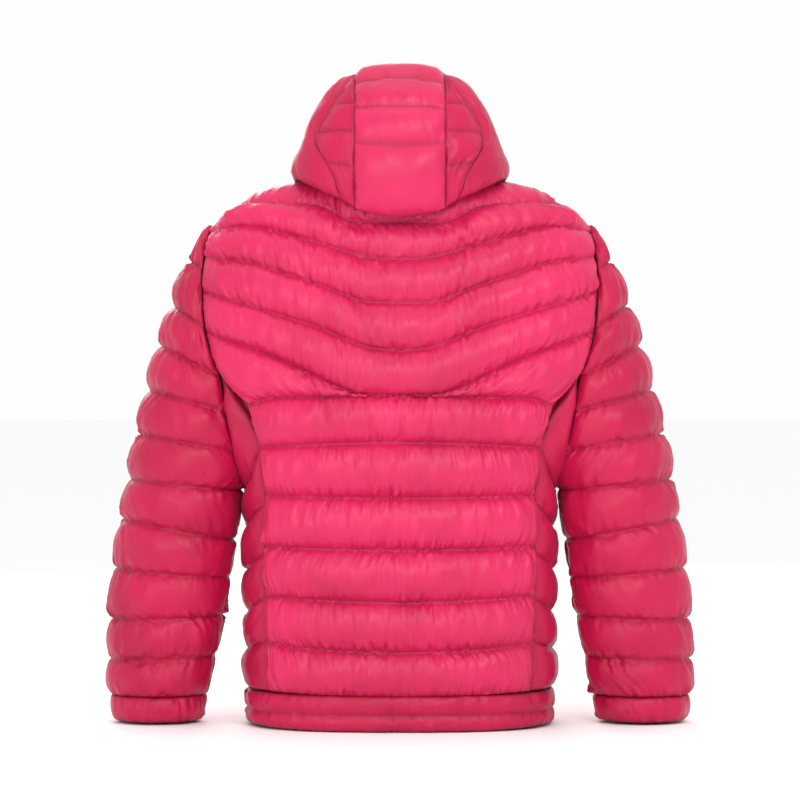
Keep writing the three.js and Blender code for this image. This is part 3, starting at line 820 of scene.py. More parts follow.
ZIP_HEIGHT = 0.766
ZIP_SLOPE = 0.033 / ZIP_HEIGHT
ZIP_HALF = 0.007  # half the width of the zips' slots
FRONT_Y = -0.143  # the front zip's line at the hem
SHOULDER_Y = -0.006
UNDERARM_Z, UNDERARM_X = 0.332, 0.2066
PRINCESS_TOP = 0.4702  # where the princess seams meet the armholes
SAMPLES = 240  # points along a row before it is divided into cells

centre_back = through(
    [(0, 0.1373), (0.19, 0.1401), (0.33, 0.143), (0.43, 0.143), (0.517, 0.1359), (0.592, 0.123)]
    + [(0.646, 0.1073), (0.68, 0.0958), (0.702, 0.0887), (0.718, 0.0787), (0.736, 0.060)]
)
front_share = through([(0, 1.0), (0.68, 1.0), (0.702, 0.9), (0.718, 0.78), (0.736, 0.62)])
armhole_x = through(
    [(UNDERARM_Z, UNDERARM_X), (0.3497, 0.2122), (0.3763, 0.2175), (0.3995, 0.2215)]
    + [(0.4187, 0.2308)]
    + [(0.4545, 0.2361), (0.4702, 0.2405), (0.4877, 0.2487), (0.5133, 0.2533), (0.5288, 0.2590)]
    + [(0.5779, 0.2632), (0.6084, 0.2632), (0.6317, 0.2613), (0.6588, 0.2564), (0.678, 0.2500)]
)
armhole_y = through(
    [(UNDERARM_Z, SHOULDER_Y), (0.345, 0.030), (0.37, 0.052), (0.40, 0.066)]
    + [(0.45, 0.0745), (0.5, 0.0755)]
    + [(0.55, 0.072), (0.6, 0.056), (0.64, 0.032), (0.66, 0.014), (0.678, -0.005)]
)
shoulder_x = through(
    [(0.66, 0.2574), (0.667, 0.2560), (0.698, 0.2147), (0.7165, 0.18), (0.7250, 0.1472)]
    + [(0.733, 0.12)]
)
princess_x = through(
    [(0.0514, 0.1733), (0.0829, 0.1752), (0.1171, 0.1752), (0.1777, 0.1791), (0.2411, 0.1803)]
    + [(0.2838, 0.1803), (0.3087, 0.1796), (0.3442, 0.1825), (0.3704, 0.1864), (0.3914, 0.1896)]
    + [(0.423, 0.2001), (0.4532, 0.2232), (0.4702, 0.2405)]
)


def centre_front(z: Array) -> Array:
    """Y of the front zip's line at a height."""
    return (FRONT_Y + ZIP_SLOPE * z) * front_share(z)


def body_half(z: Array, back: bool) -> Array:
    """Half width of the body's level section.

    Beside the armhole the section is the one that passes through the armhole's edge; under the
    arm it is the body's side, and above the armhole it is the shoulder line.

    Args:
        z: Heights.
        back: True for the back half of the section.

    Returns:
        Half widths.
    """
    middle = (centre_back(z) + centre_front(z)) / 2
    depth = (centre_back(z) - centre_front(z)) / 2
    edge = armhole_y(z) if back else 2 * SHOULDER_Y - armhole_y(z)
    ratio = np.clip(np.abs(edge - middle) / depth, 0, 0.97)
    beside = armhole_x(z) * (1 - ratio**SQUARE) ** (-1 / SQUARE)
    half = np.where(z > UNDERARM_Z, beside, UNDERARM_X)
    return np.where(z > 0.676, np.minimum(half, shoulder_x(z)), half)


def body_point(x: Array, z: Array, back: bool) -> Array:
    """Points of the body's surface at the given X and height.

    The section is a superellipse: Y leaves the middle by depth times the SQUARE-th root of one
    less the SQUARE-th power of X over the half width.
    """
    x, z = np.broadcast_arrays(np.asarray(x, float), np.asarray(z, float))
    middle = (centre_back(z) + centre_front(z)) / 2
    depth = (centre_back(z) - centre_front(z)) / 2
    share = np.clip(np.abs(x) / body_half(z, back), 0, 1)
    reach = depth * (1 - share**SQUARE) ** (1 / SQUARE)
    return np.stack([x, middle + (reach if back else -reach), z], axis=-1)


def body_ring(turn: Array, z: Array) -> Array:
    """Points round the body: turn is a quarter circle at the centre back and 0 at the side."""
    turn, z = np.broadcast_arrays(np.asarray(turn, float), np.asarray(z, float))
    middle = (centre_back(z) + centre_front(z)) / 2
    depth = (centre_back(z) - centre_front(z)) / 2
    half = np.where(turn >= 0, body_half(z, True), body_half(z, False))
    x = half * np.abs(np.cos(turn)) ** (2 / SQUARE)
    y = middle + depth * np.sign(turn) * np.abs(np.sin(turn)) ** (2 / SQUARE)
    return np.stack([x, y, z], axis=-1)


def body_turn(x: Array, z: Array, back: bool) -> Array:
    """The turn of body_ring at which the section reaches the given X."""
    share = np.clip(x / body_half(np.asarray(z, float), back), 0, 1)
    turn = np.arccos(share ** (SQUARE / 2))
    return turn if back else -turn


def to_shoulder(curve: Array, back: bool) -> Array:
    """Bring the end of a row onto the shoulder seam or onto the armhole's edge.

    The last 3 cm of the row move in Y, by the square of their share of the 3 cm.

    Args:
        curve: Points of the row from the middle outward.
        back: True for the back.

    Returns:
        The moved points.
    """
    end_x, end_y, end_z = curve[-1]
    edge = SHOULDER_Y if end_z > 0.665 else float(armhole_y(end_z))
    edge = edge if back else 2 * SHOULDER_Y - edge
    share = np.clip((curve[:, 0] - end_x + 0.03) / 0.03, 0, 1) ** 2
    curve[:, 1] += share * (edge - end_y) * (end_z > 0.65)
    return curve


def shoulder_calm(grid: Array) -> Array:
    """Share of the filling: little on the shoulder seam, all of it 5 cm in front and behind."""
    near = np.abs(grid[..., 1] - SHOULDER_Y) / 0.05
    return np.where(grid[..., 2] > 0.6, np.clip(near, 0.12, 1), 1.0)


NECK_BACK = [(0, 0.094, 0.702), (0.05, 0.090, 0.704), (0.08, 0.073, 0.713)]
NECK_BACK += [(0.10, 0.043, 0.726), (0.115, 0.008, 0.7305)]
NECK_FRONT = [(ZIP_HALF, -0.1120, 0.690), (0.05, -0.104, 0.697), (0.08, -0.085, 0.710)]
NECK_FRONT += [(0.10, -0.050, 0.724), (0.115, -0.018, 0.7305)]
SHOULDER_SEAM = [(0.1472, SHOULDER_Y, 0.7250), (0.18, SHOULDER_Y, 0.7165)]
SHOULDER_SEAM += [(0.2147, SHOULDER_Y, 0.6990)]


def no_knots(z: float) -> tuple[float, ...]:
    """The knots of a row of a panel with no slot."""
    return ()


def panel_rows(
    neck: list[tuple[float, float, float]],
    table: Sequence[tuple[bool, list[tuple[float, float]]]],
    back: bool,
    cell: float,
    knots: Callable[[float], tuple[float, ...]] = no_knots,
) -> list[Row]:
    """Rows of a body panel from its neckline and shoulder seam down.

    Args:
        neck: Corners of the panel's part of the neckline, from the middle outward.
        table: For each lower row, whether it is sewn and its X and Z from the middle outward.
        back: True for the back.
        cell: Height of a cell.
        knots: Gives a row's knots for the height of its outer quarter.

    Returns:
        The rows.
    """
    corners = np.array(neck + SHOULDER_SEAM)
    at = np.linspace(0, len(corners) - 1, SAMPLES)
    top = [np.interp(at, np.arange(len(corners)), corners[:, k]) for k in range(3)]
    curves = [(True, np.stack(top, axis=1))]
    for sewn, points in table:
        x = np.linspace(neck[0][0], points[-1][0], SAMPLES)
        curve = body_point(x, through(points)(x), back)
        curves.append((sewn, to_shoulder(curve, back)))
    rows = []
    for i, (sewn, curve) in enumerate(curves):
        following = curves[min(i + 1, len(curves) - 1)][1]
        drop = np.abs(following[:, 2] - curve[:, 2]).max()
        height = float(curve[SAMPLES * 3 // 4, 2])
        rows.append(Row(curve, max(int(round(drop / cell)), 2), sewn, knots(height)))
    return rows


@dataclass
class BackPanel:
    """The quilted back, from the hem band to the shoulders: chevrons above, level rows below."""

    cell: float = 0.0026
    columns: int = 136

    def rows(self) -> list[Row]:
        """Rows from the shoulder line down, each from the middle to the panel's edge."""
        table = [
            (True, [(0, 0.668), (0.0656, 0.6711), (0.105, 0.6901), (0.1497, 0.6950)]
             + [(0.2147, 0.6970)]),
            (False, [(0, 0.643), (0.105, 0.664), (0.1497, 0.675), (0.1838, 0.680)]
             + [(0.2147, 0.680), (0.235, 0.6745), (0.2530, 0.6670)]),
            (True, [(0, 0.6186), (0.0315, 0.6199), (0.105, 0.6398), (0.1497, 0.6532)]
             + [(0.1838, 0.6619), (0.2087, 0.665), (0.2337, 0.6641), (0.2564, 0.6588)]),
            (True, [(0, 0.5608), (0.0473, 0.5634), (0.105, 0.5844), (0.1497, 0.5997)]
             + [(0.1934, 0.6146), (0.2337, 0.6215), (0.2613, 0.6255)]),
            (True, [(0, 0.4978), (0.042, 0.503), (0.105, 0.528), (0.1497, 0.5427), (0.1934, 0.5562)]
             + [(0.2236, 0.5654), (0.2632, 0.5779)]),
            (True, [(0, 0.4413), (0.035, 0.4414), (0.0546, 0.443), (0.0893, 0.4558)]
             + [(0.1313, 0.4755), (0.1772, 0.4952), (0.214, 0.5083), (0.2580, 0.5235)]),
            (False, [(0, 0.4404), (0.0546, 0.4412), (0.0893, 0.448), (0.1313, 0.456)]
             + [(0.2, 0.466), (0.2405, PRINCESS_TOP)]),
            (True, [(0, 0.4394), (0.0473, 0.4394), (0.1313, 0.4374), (0.1707, 0.4361)]
             + [(0.2020, 0.4260)]),
            (True, [(0, 0.3783), (0.1, 0.3760), (0.1864, 0.3704)]),
            (True, [(0, 0.3061), (0.1, 0.3070), (0.1796, 0.3087)]),
            (True, [(0, 0.2378), (0.1, 0.2390), (0.1803, 0.2405)]),
            (True, [(0, 0.1689), (0.1, 0.1720), (0.1791, 0.1761)]),
            (True, [(0, 0.1039), (0.1, 0.1070), (0.1752, 0.1131)]),
            (True, [(0, 0.0465), (0.1, 0.0480), (0.1733, 0.0505)]),
        ]
        return panel_rows(NECK_BACK, table, True, self.cell)

    def quilt(self) -> Quilt:
        """The left half of the panel."""
        grid, sewn = lofted(self.rows(), [self.columns])
        return Quilt(
            "back_quilt", grid, sewn, [-1], (0, 0, 0.4), crosses_middle=True, seed=11,
            cloth=Cloth(across_ease=1.05, along_ease=1.042), calm=shoulder_calm(grid),
        )

    def build(self) -> None:
        """Make the whole back."""
        skin = self.quilt().settled().with_mirror().puckered(101)
        dress(skin, SHELL, BODY, ["back_panel"])


@dataclass
class SidePanel:
    """The narrow quilted panel under each arm, from the hem band up to the armhole."""

    cell: float = 0.0032
    columns: int = 38

    def row(self, edge: float, middle: float, power: float = 1.5) -> Array:
        """One row from the back princess seam round the side to the front one."""
        u = np.linspace(0, 1, 160)
        z = middle + (edge - middle) * np.abs(2 * u - 1) ** power
        back = body_turn(princess_x(z), z, back=True)
        front = body_turn(princess_x(z), z, back=False)
        return body_ring(back + (front - back) * u, z)

    def top(self) -> Array:
        """The armhole's edge from the back princess seam under the arm to the front one."""
        u = np.linspace(0, 1, 160)
        z = UNDERARM_Z + (PRINCESS_TOP - UNDERARM_Z) * np.abs(2 * u - 1) ** 1.7
        y = np.where(u < 0.5, armhole_y(z), 2 * SHOULDER_Y - armhole_y(z))
        return np.stack([armhole_x(z), y, z], axis=-1)

    def build(self) -> None:
        """Make both side panels."""
        levels = [(0.0505, 0.0505), (0.117, 0.100), (0.173, 0.149), (0.234, 0.205)]
        levels += [(0.298, 0.262), (0.3704, 0.303)]
        rows = []
        above = levels[1:] + [(PRINCESS_TOP, UNDERARM_Z)]
        for (edge, middle), (next_edge, next_middle) in zip(levels, above):
            cells = int(round(max(next_edge - edge, next_middle - middle) / self.cell))
            rows.append(Row(self.row(edge, middle), cells))
        grid, sewn = lofted(rows + [Row(self.top())], [self.columns])
        quilt = Quilt(
            "side_quilt", grid, sewn, [0, -1], (0, 0, 0.25), puff=0.003, seed=23,
            cloth=Cloth(across_ease=1.015, along_ease=1.02),
        )
        skin = quilt.settled()
        for side in Side:
            made = skin.on_side(side, f"side_quilt_{side.word}")
            made.puckered(110 + side.value)
            dress(made, SHELL_SHADED, BODY, [f"side_panel_{side.word}"])


POCKET_LOW = np.array([0.158, 0.118])
POCKET_HIGH = np.array([0.126, 0.272])


@dataclass
class FrontPanel:
    """The quilted front, with the slot of the hand pocket's zip."""

    cell: float = 0.0032
    inner: int = 34
    slot: int = 4
    outer: int = 18

    @staticmethod
    def zip_x(z: float) -> float:
        """X of the pocket zip at a height, carried straight on above and below it."""
        share = (np.clip(z, 0.05, 0.32) - POCKET_LOW[1]) / (POCKET_HIGH[1] - POCKET_LOW[1])
        return float(POCKET_LOW[0] + share * (POCKET_HIGH[0] - POCKET_LOW[0]))

    def beside_zip(self, z: float) -> tuple[float, float]:
        """X of both edges of the pocket zip's slot, carried on up the panel."""
        middle = self.zip_x(z) if z < 0.5 else POCKET_HIGH[0]
        return (middle - ZIP_HALF, middle + ZIP_HALF)

    def rows(self) -> list[Row]:
        """Rows from the shoulder line down, each from the zip to the panel's edge."""
        table = [
            (True, [(ZIP_HALF, 0.648), (0.1, 0.672), (0.16, 0.691), (0.2147, 0.6970)]),
            (False, [(ZIP_HALF, 0.62), (0.1, 0.645), (0.18, 0.668), (0.225, 0.6725)]
             + [(0.2530, 0.6670)]),
            (True, [(ZIP_HALF, 0.59), (0.1, 0.615), (0.18, 0.642), (0.2564, 0.6588)]),
            (True, [(ZIP_HALF, 0.53), (0.1, 0.557), (0.18, 0.595), (0.2613, 0.6255)]),
            (True, [(ZIP_HALF, 0.472), (0.1, 0.497), (0.18, 0.540), (0.2632, 0.5779)]),
            (True, [(ZIP_HALF, 0.415), (0.1, 0.434), (0.18, 0.482), (0.2580, 0.5235)]),
            (True, [(ZIP_HALF, 0.3865), (0.1, 0.398), (0.18, 0.430), (0.2405, 0.4702)]),
            (True, [(ZIP_HALF, 0.358), (0.1, 0.362), (0.1864, 0.3704)]),
            (True, [(ZIP_HALF, 0.302), (0.1796, 0.3087)]),
            (False, [(ZIP_HALF, 0.272), (0.1803, 0.272)]),
            (True, [(ZIP_HALF, 0.236), (0.1803, 0.2405)]),
            (True, [(ZIP_HALF, 0.175), (0.1791, 0.1761)]),
            (True, [(ZIP_HALF, 0.118), (0.1752, 0.118)]),
            (True, [(ZIP_HALF, 0.0505), (0.1733, 0.0505)]),
        ]
        return panel_rows(NECK_FRONT, table, False, self.cell, self.beside_zip)

    def build(self) -> None:
        """Make both fronts."""
        grid, sewn = lofted(self.rows(), [self.inner, self.slot, self.outer])
        x, z = grid[..., 0], grid[..., 2]
        share = np.clip((z - POCKET_LOW[1]) / (POCKET_HIGH[1] - POCKET_LOW[1]), 0, 1)
        line = POCKET_LOW + share[..., None] * (POCKET_HIGH - POCKET_LOW)
        away = np.hypot(x - line[..., 0], z - line[..., 1])
        mid_z = (z[1:, 1:] + z[:-1, :-1]) / 2
        kept = np.ones(mid_z.shape, bool)
        inside = (mid_z > POCKET_LOW[1]) & (mid_z < POCKET_HIGH[1])
        slot = slice(self.inner, self.inner + self.slot)
        kept[:, slot] &= ~inside[:, slot]
        quilt = Quilt(
            "front_quilt", grid, sewn, [0, -1], (0, 0, 0.4), seed=31, pressed=away < 0.0125,
            kept=kept, calm=shoulder_calm(grid), puff=0.0055,
            cloth=Cloth(across_ease=1.03, along_ease=1.022, push=1.2e-5),
        )
        skin = quilt.settled()
        near = np.clip(1 - (away - 0.006) / 0.008, 0, 1)[..., None]
        skin.face += skin.normal * 0.003 * near
        for side in Side:
            made = skin.on_side(side, f"front_quilt_{side.word}")
            made.puckered(120 + side.value)
            dress(made, SHELL, BODY, [f"front_panel_{side.word}"])


@dataclass
class HemBand:
    """The padded band round the hem."""

    height: float = 0.0475
    columns: int = 190

    def build(self) -> None:
        """Make the band, open at the front zip."""
        turn_end = body_turn(ZIP_HALF, np.array(0.02), back=False)
        turn = np.linspace(np.pi / 2, float(turn_end), 600)
        rows = []
        for z, cells in ((0.0012, 8), (0.022, 8), (self.height, 0)):
            rise = 0.0035 * np.clip(1 - np.abs(turn - 0.25) / 0.9, 0, 1) if z < 0.01 else 0.0
            rows.append(Row(body_ring(turn, z + rise), cells))
        grid, sewn = lofted(rows, [self.columns])
        quilt = Quilt(
            "hem_cloth", grid, sewn, [-1], (0, 0, 0.02), puff=0.002, sunk=0.0018, seed=41,
            crosses_middle=True, cloth=Cloth(across_ease=1.02, along_ease=1.015),
        )
        skin = quilt.settled().with_mirror().puckered(131, 0.0006)
        dress(skin, SHELL_SHADED, BODY, ["hem_band"])


sleeve_outer = through(
    [(0.0, 0.3915), (0.0293, 0.3962), (0.1103, 0.3969), (0.1643, 0.3942), (0.2183, 0.3875)]
    + [(0.275, 0.3794), (0.3277, 0.3699), (0.3884, 0.3574), (0.4478, 0.3446), (0.4883, 0.3341)]
    + [(0.5302, 0.3216), (0.5661, 0.3085), (0.597, 0.2957), (0.6247, 0.2826), (0.6503, 0.2704)]
    + [(0.6679, 0.2579)]
)
sleeve_inner = through(
    [(0.0, 0.2640), (0.0226, 0.2606), (0.0482, 0.2551), (0.0894, 0.2449), (0.1306, 0.2376)]
    + [(0.1873, 0.2268), (0.2386, 0.2214), (0.2858, 0.2133), (0.3128, 0.2096)]
)
sleeve_depth = through(
    [(0, 0.055), (0.08, 0.059), (0.16, 0.067), (0.3, 0.080), (0.4, 0.083), (0.5, 0.0815)]
)


def bend_at_armhole(piece: bpy.types.Object) -> None:
    """Bake a sleeve piece's placement into its mesh; it is put on no body.

    Args:
        piece: The sleeve's cloth.
    """
    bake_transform(piece)


@dataclass
class Sleeve:
    """A quilted sleeve with its cuff."""

    cell: float = 0.0028
    columns: int = 150
    inset: float = 0.005  # from the outline of the padded sleeve to its outer surface

    def ring(self, outer_z: float, inner_z: float, samples: int = 240) -> Array:
        """One row, from the back of the armhole round the outside to its front.

        Above the underarm the row starts and ends on the armhole's edge; below it the row closes
        on the inside of the sleeve.

        Args:
            outer_z: Height on the outside of the sleeve.
            inner_z: Height at the armhole or on the inside of the sleeve.
            samples: Points wanted.

        Returns:
            The row's points.
        """
        outer_x = float(sleeve_outer(outer_z)) - self.inset * np.clip((0.66 - outer_z) / 0.05, 0, 1)
        if inner_z > UNDERARM_Z:
            inner_x, reach = float(armhole_x(inner_z)), float(armhole_y(inner_z)) - SHOULDER_Y
            depth = reach if inner_z > 0.47 else max(float(sleeve_depth(inner_z)), reach)
            end = np.pi / 2 if inner_z > 0.47 else np.pi - np.arcsin(min(reach / depth, 1))
        else:
            inner_x = float(sleeve_inner(inner_z)) + self.inset * 0.6
            depth, end = float(sleeve_depth(inner_z)), np.pi
        turn = np.linspace(end, -end, samples)
        share = (1 - np.cos(turn)) / (1 - np.cos(end))
        x = outer_x + (inner_x - outer_x) * share
        y = SHOULDER_Y + depth * np.sin(turn)
        return np.stack([x, y, outer_z + (inner_z - outer_z) * share], axis=-1)

    def build(self) -> None:
        """Make both sleeves and cuffs."""
        table = [(0.6700, 0.669, True), (0.6193, 0.609, True), (0.5605, 0.530, True)]
        table += [(0.5072, 0.4654, True), (0.4478, 0.4181, True), (0.3884, 0.3655, True)]
        table += [(0.356, 0.3340, False)]
        table += [(0.3277, 0.3128, True), (0.275, 0.2460, True), (0.2080, 0.1950, True)]
        table += [(0.1400, 0.1440, True), (0.0860, 0.0890, True), (0.0375, 0.0375, True)]
        rows = []
        for i, (outer_z, inner_z, sewn) in enumerate(table):
            after = table[min(i + 1, len(table) - 1)]
            cells = int(round(max(outer_z - after[0], inner_z - after[1]) / self.cell))
            rows.append(Row(self.ring(outer_z, inner_z), max(cells, 1), sewn))
        grid, sewn = lofted(rows, [self.columns])
        quilt = Quilt(
            "sleeve_quilt", grid, sewn, [0, -1], (0.30, -0.006, 0.3), puff=0.005, seed=53,
            cloth=Cloth(across_ease=1.04, along_ease=1.024),
            calm=np.clip((0.665 - grid[..., 2]) / 0.1, 0.1, 1),
        )
        self.both(quilt.settled(), "sleeve_quilt", "sleeve", 0.7)
        cuff, sewn = lofted(
            [Row(self.ring(0.0365, 0.0365), 9), Row(self.ring(0.0035, 0.0035), 0)], [self.columns]
        )
        quilt = Quilt(
            "cuff_cloth", cuff, sewn, [0, -1], (0.33, -0.006, 0.02), puff=0.003, sunk=0.0018,
            seed=59, cloth=Cloth(across_ease=1.02, along_ease=1.03),
        )
        self.both(quilt.settled(), "cuff_cloth", "cuff", 0.4)

    @staticmethod
    def both(skin: Skin, name: str, node: str, fill: float) -> None:
        """Dress a sleeve piece on both sides.

        Args:
            skin: The left piece.
            name: Its name without the side.
            node: Name of the node that it replaces, without the side.
            fill: Share of filling; not used.
        """
        for side in Side:
            made = skin.on_side(side, f"{name}_{side.word}")
            made.puckered(140 + side.value)
            body = side if node == "sleeve" else f"{side.word}_sleeve"
            dress(made, SHELL_SHADED, body, [f"{node}_{side.word}"])


# ---------------------------------------------------------------------------------------------
# Hood
# ---------------------------------------------------------------------------------------------

hood_half = through(
    [(0.66, 0.144), (0.7286, 0.1440), (0.7435, 0.1445), (0.7583, 0.1380), (0.7786, 0.1258)]
    + [(0.8015, 0.1165), (0.8204, 0.1078), (0.8407, 0.0950), (0.8573, 0.0780), (0.8697, 0.0660)]
    + [(0.8771, 0.0540), (0.8839, 0.0300), (0.8862, 0.0)]
)
hood_back = through(
    [(0.66, 0.122), (0.692, 0.129), (0.72, 0.140), (0.76, 0.142), (0.80, 0.136), (0.83, 0.124)]
    + [(0.855, 0.102), (0.872, 0.078), (0.882, 0.050), (0.8862, 0.03)]
)
hood_lip = through(
    [(0, 0.672), (0.0175, 0.6745), (0.0419, 0.6787), (0.0587, 0.6841), (0.0796, 0.6962)]
    + [(0.0999, 0.7057), (0.1207, 0.7165), (0.1431, 0.7286)]
)
HOOD_MIDDLE = 0.03
HOOD_TOP = 0.8862
HOOD_SQUARE = 2.3  # squareness of the hood's level sections; 2 is an ellipse
SIDE_TOP = 0.8690  # where the hood's sides end
BROW_Z, BROW_SLOPE = 0.79, 0.42  # the hood's front leans back above this height


def hood_point(turn: Array, z: Array) -> Array:
    """Points of the hood: turn is a quarter circle at the centre back and 0 at the side."""
    turn, z = np.broadcast_arrays(np.asarray(turn, float), np.asarray(z, float))
    front = FRONT_Y + ZIP_SLOPE * z + np.clip(z - BROW_Z, 0, 1) * BROW_SLOPE
    depth = np.where(turn >= 0, hood_back(z) - HOOD_MIDDLE, HOOD_MIDDLE - front)
    depth = np.where(z > 0.877, depth * np.sqrt(np.clip((HOOD_TOP - z) / 0.0092, 0, 1)), depth)
    x = hood_half(z) * np.abs(np.cos(turn)) ** (2 / HOOD_SQUARE)
    y = HOOD_MIDDLE + depth * np.sign(turn) * np.abs(np.sin(turn)) ** (2 / HOOD_SQUARE)
    return np.stack([x, y, z], axis=-1)


def hood_turn(x: Array, z: Array) -> Array:
    """The turn of hood_point on the back half at which the section reaches the given X."""
    share = np.clip(x / np.maximum(hood_half(z), 1e-4), 0, 1)
    return np.arccos(share ** (HOOD_SQUARE / 2))


@dataclass
class Hood:
    """The hood: centre panel, side panels, rolls round the neck, lining and binding."""

    half_centre: float = 0.0605

    def profile(self, x: float) -> Array:
        """The centre panel's line at an X, from the lip up the back and over to the brow."""
        top = float(np.interp(-x, [-0.0587, -0.0338, 0.0], [SIDE_TOP, 0.8785, 0.8815]))
        lip = float(hood_lip(x))
        z = lip + (top - lip) * np.sin(np.linspace(0, np.pi / 2, 200))
        rear = hood_point(hood_turn(np.full(200, x), z), z)
        rear[:, 0] = x
        rear[:, 1] = np.maximum(rear[:, 1], HOOD_MIDDLE)
        brow = np.linspace(0, 1, 60)[1:]
        over = np.stack(
            [np.full(59, x), HOOD_MIDDLE - 0.068 * brow, top - 0.0035 * brow**2], axis=-1
        )
        return np.concatenate([rear, over])

    @staticmethod
    def under(lip: Array) -> Skin:
        """The hood's cloth under its roll, from the lip in to the seam on the neckline.

        Args:
            lip: Points of the hood's lower edge.

        Returns:
            The cloth.
        """
        neck = np.array(NECK_BACK + NECK_FRONT[::-1])
        around = np.arctan2(neck[:, 0], neck[:, 1] - SHOULDER_Y)
        where = np.arctan2(lip[:, 0], lip[:, 1] - SHOULDER_Y)
        seam = np.stack([np.interp(where, around, neck[:, k]) for k in range(3)], axis=1)
        start = lip + 0.0055 * unit(seam - lip) + (0, 0, 0.001)
        share = np.linspace(0, 1, 9)[:, None, None]
        face = start * (1 - share) + seam * share
        down = np.broadcast_to(np.array([0, 0, -1.0]), face.shape)
        return Skin("", face, face + (0, 0, 0.004), down, np.full(face.shape[:2], 0.02))

    def build(self) -> None:
        """Make every piece of the hood."""
        centre = self.centre()
        side, kept = self.sides()
        self.lining(centre, side, kept)
        self.binding(centre, side)

    def lining(self, centre: Array, side: Array, kept: Array) -> None:
        """Line the hood.

        Args:
            centre: Outer surface of the centre panel's left half.
            side: Outer surface of the left side.
            kept: The cells of the left side that exist.
        """
        over = layer("hood_lining_cloth", centre, (0, 0.03, 0.78), 0.0142, 0.0014).with_mirror()
        left = layer("", side, (0, 0, 0.76), 0.0142, 0.0014)
        left.kept = kept
        skins = [over, left, left.on_side(Side.RIGHT)]
        piece = dress(skins, LINING, BODY, ["hood_lining"])

    def binding(self, centre: Array, side: Array) -> None:
        """Bind the edge of the face opening from the zip over the brow and back to the zip."""
        chin = side[23, :75:-1]
        cheek = side[24:, 76]
        brow = centre[-1, ::-1]
        half = np.concatenate([chin[2:], cheek, brow[1:]])
        half = half - 0.0068 * unit(half - np.array([0, 0.03, 0.80]))
        step = np.linalg.norm(np.diff(half, axis=0), axis=1)
        length = np.concatenate([[0.0], np.cumsum(step)])
        even = np.linspace(0, length[-1], 150)
        half = np.stack([np.interp(even, length, half[:, k]) for k in range(3)], axis=1)
        for _ in range(6):
            half[1:-1] = (half[:-2] + half[1:-1] * 2 + half[2:]) / 4
        path = np.concatenate([half, (half * [-1, 1, 1])[-2::-1]])
        out = unit(path - np.array([0, 0.03, 0.80]))
        points, faces = swept(path, out, 0.0042, 0.0082)
        piece = link("face_binding", mesh_of("face_binding", points, faces))
        placed(piece, SHELL_SHADED, BODY, ["hood_binding"])

    def centre(self) -> Array:
        """Make the centre panel.

        Returns:
            The outer surface of its left half.
        """
        xs = np.linspace(0, self.half_centre, 21)
        lines = np.stack([spaced(self.profile(x), [110]) for x in xs], axis=1)
        at = lines[:, 0]
        levels = (0.7651, 0.8184, 0.8586)
        behind = [np.where(at[:, 1] > 0.05, np.abs(at[:, 2] - z), 1) for z in levels]
        above = [np.where(at[:, 2] > 0.87, np.abs(at[:, 1] - y), 1) for y in (0.035, 0.0)]
        seams = [int(np.argmin(gap)) for gap in behind + above]
        quilt = Quilt(
            "hood_centre_quilt", lines, [0, -1] + seams, [-1], (0, 0.03, 0.78), puff=0.004,
            sunk=0.0022, seed=61, crosses_middle=True,
            cloth=Cloth(across_ease=1.006, along_ease=1.015, push=1.4e-5),
        )
        skin = quilt.settled().with_mirror().puckered(151, 0.0006)
        under = self.under(lines[0]).with_mirror()
        dress([skin, under], SHELL, BODY, ["hood_centre_panel"])
        return lines

    def sides(self) -> tuple[Array, Array]:
        """Make the side panels and the rolls, cut from one grid along their curved seam.

        Returns:
            The outer surface of the left side, and its cells that exist.
        """
        curved = through(
            [(0.69, 0.0622), (0.696, 0.0713), (0.7101, 0.0816), (0.7261, 0.0874), (0.7427, 0.0974)]
            + [(0.7664, 0.1096), (0.7906, 0.1079), (0.8209, 0.0915), (0.85, 0.072)]
            + [(SIDE_TOP, 0.0606)]
        )
        chin, rows = 0.768, []
        above = np.linspace(chin, SIDE_TOP, 38)[1:]
        heights = np.concatenate([np.linspace(0.70, chin, 24), above])
        for z in heights:
            low = np.clip((chin - z) / (chin - 0.70), 0, 1)
            turn_rear = hood_turn(np.array(self.half_centre), np.array(z))
            turn_seam = min(float(hood_turn(curved(z), np.array(z))), float(turn_rear) - 0.02)
            edge_y = np.interp(z, [chin, 0.794, HOOD_TOP], [-0.085, -0.063, -0.034])
            front = FRONT_Y + ZIP_SLOPE * z + max(z - BROW_Z, 0) * BROW_SLOPE
            share = np.clip((HOOD_MIDDLE - edge_y) / (HOOD_MIDDLE - front), 0, 1)
            turn_face = -np.arcsin(share ** (HOOD_SQUARE / 2))
            at_zip = np.clip(ZIP_HALF / hood_half(np.array(z)), 0, 1)
            turn_zip = -np.arccos(at_zip ** (HOOD_SQUARE / 2))
            turns = np.concatenate([
                np.linspace(float(turn_rear), turn_seam, 17)[:-1],
                np.linspace(turn_seam, float(turn_face), 61)[:-1],
                np.linspace(float(turn_face), float(turn_zip), 31),
            ])
            point = hood_point(turns, np.full(len(turns), z))
            drop = (hood_lip(np.abs(point[:, 0])) - 0.70) * low
            drop = np.where(turns > 0, drop, np.interp(turns, [-1.5, 0], [-0.012, 0.0286]) * low)
            rows.append(hood_point(turns, z + drop))
        grid = np.stack(rows)
        kept = np.ones((grid.shape[0] - 1, grid.shape[1] - 1), bool)
        kept[23:, 76:] = False
        held = np.zeros(grid.shape[:2], bool)
        held[23, 76:] = True
        held[23:, 76] = True
        held[[15, 30, 44], :17] = True
        quilt = Quilt(
            "hood_side_quilt", grid, [0, -1], [0, 16, -1], (0.0, 0.0, 0.78), puff=0.004, sunk=0.002,
            seed=67, pressed=held, kept=kept,
            cloth=Cloth(across_ease=1.0, along_ease=1.002, push=1.0e-5),
        )
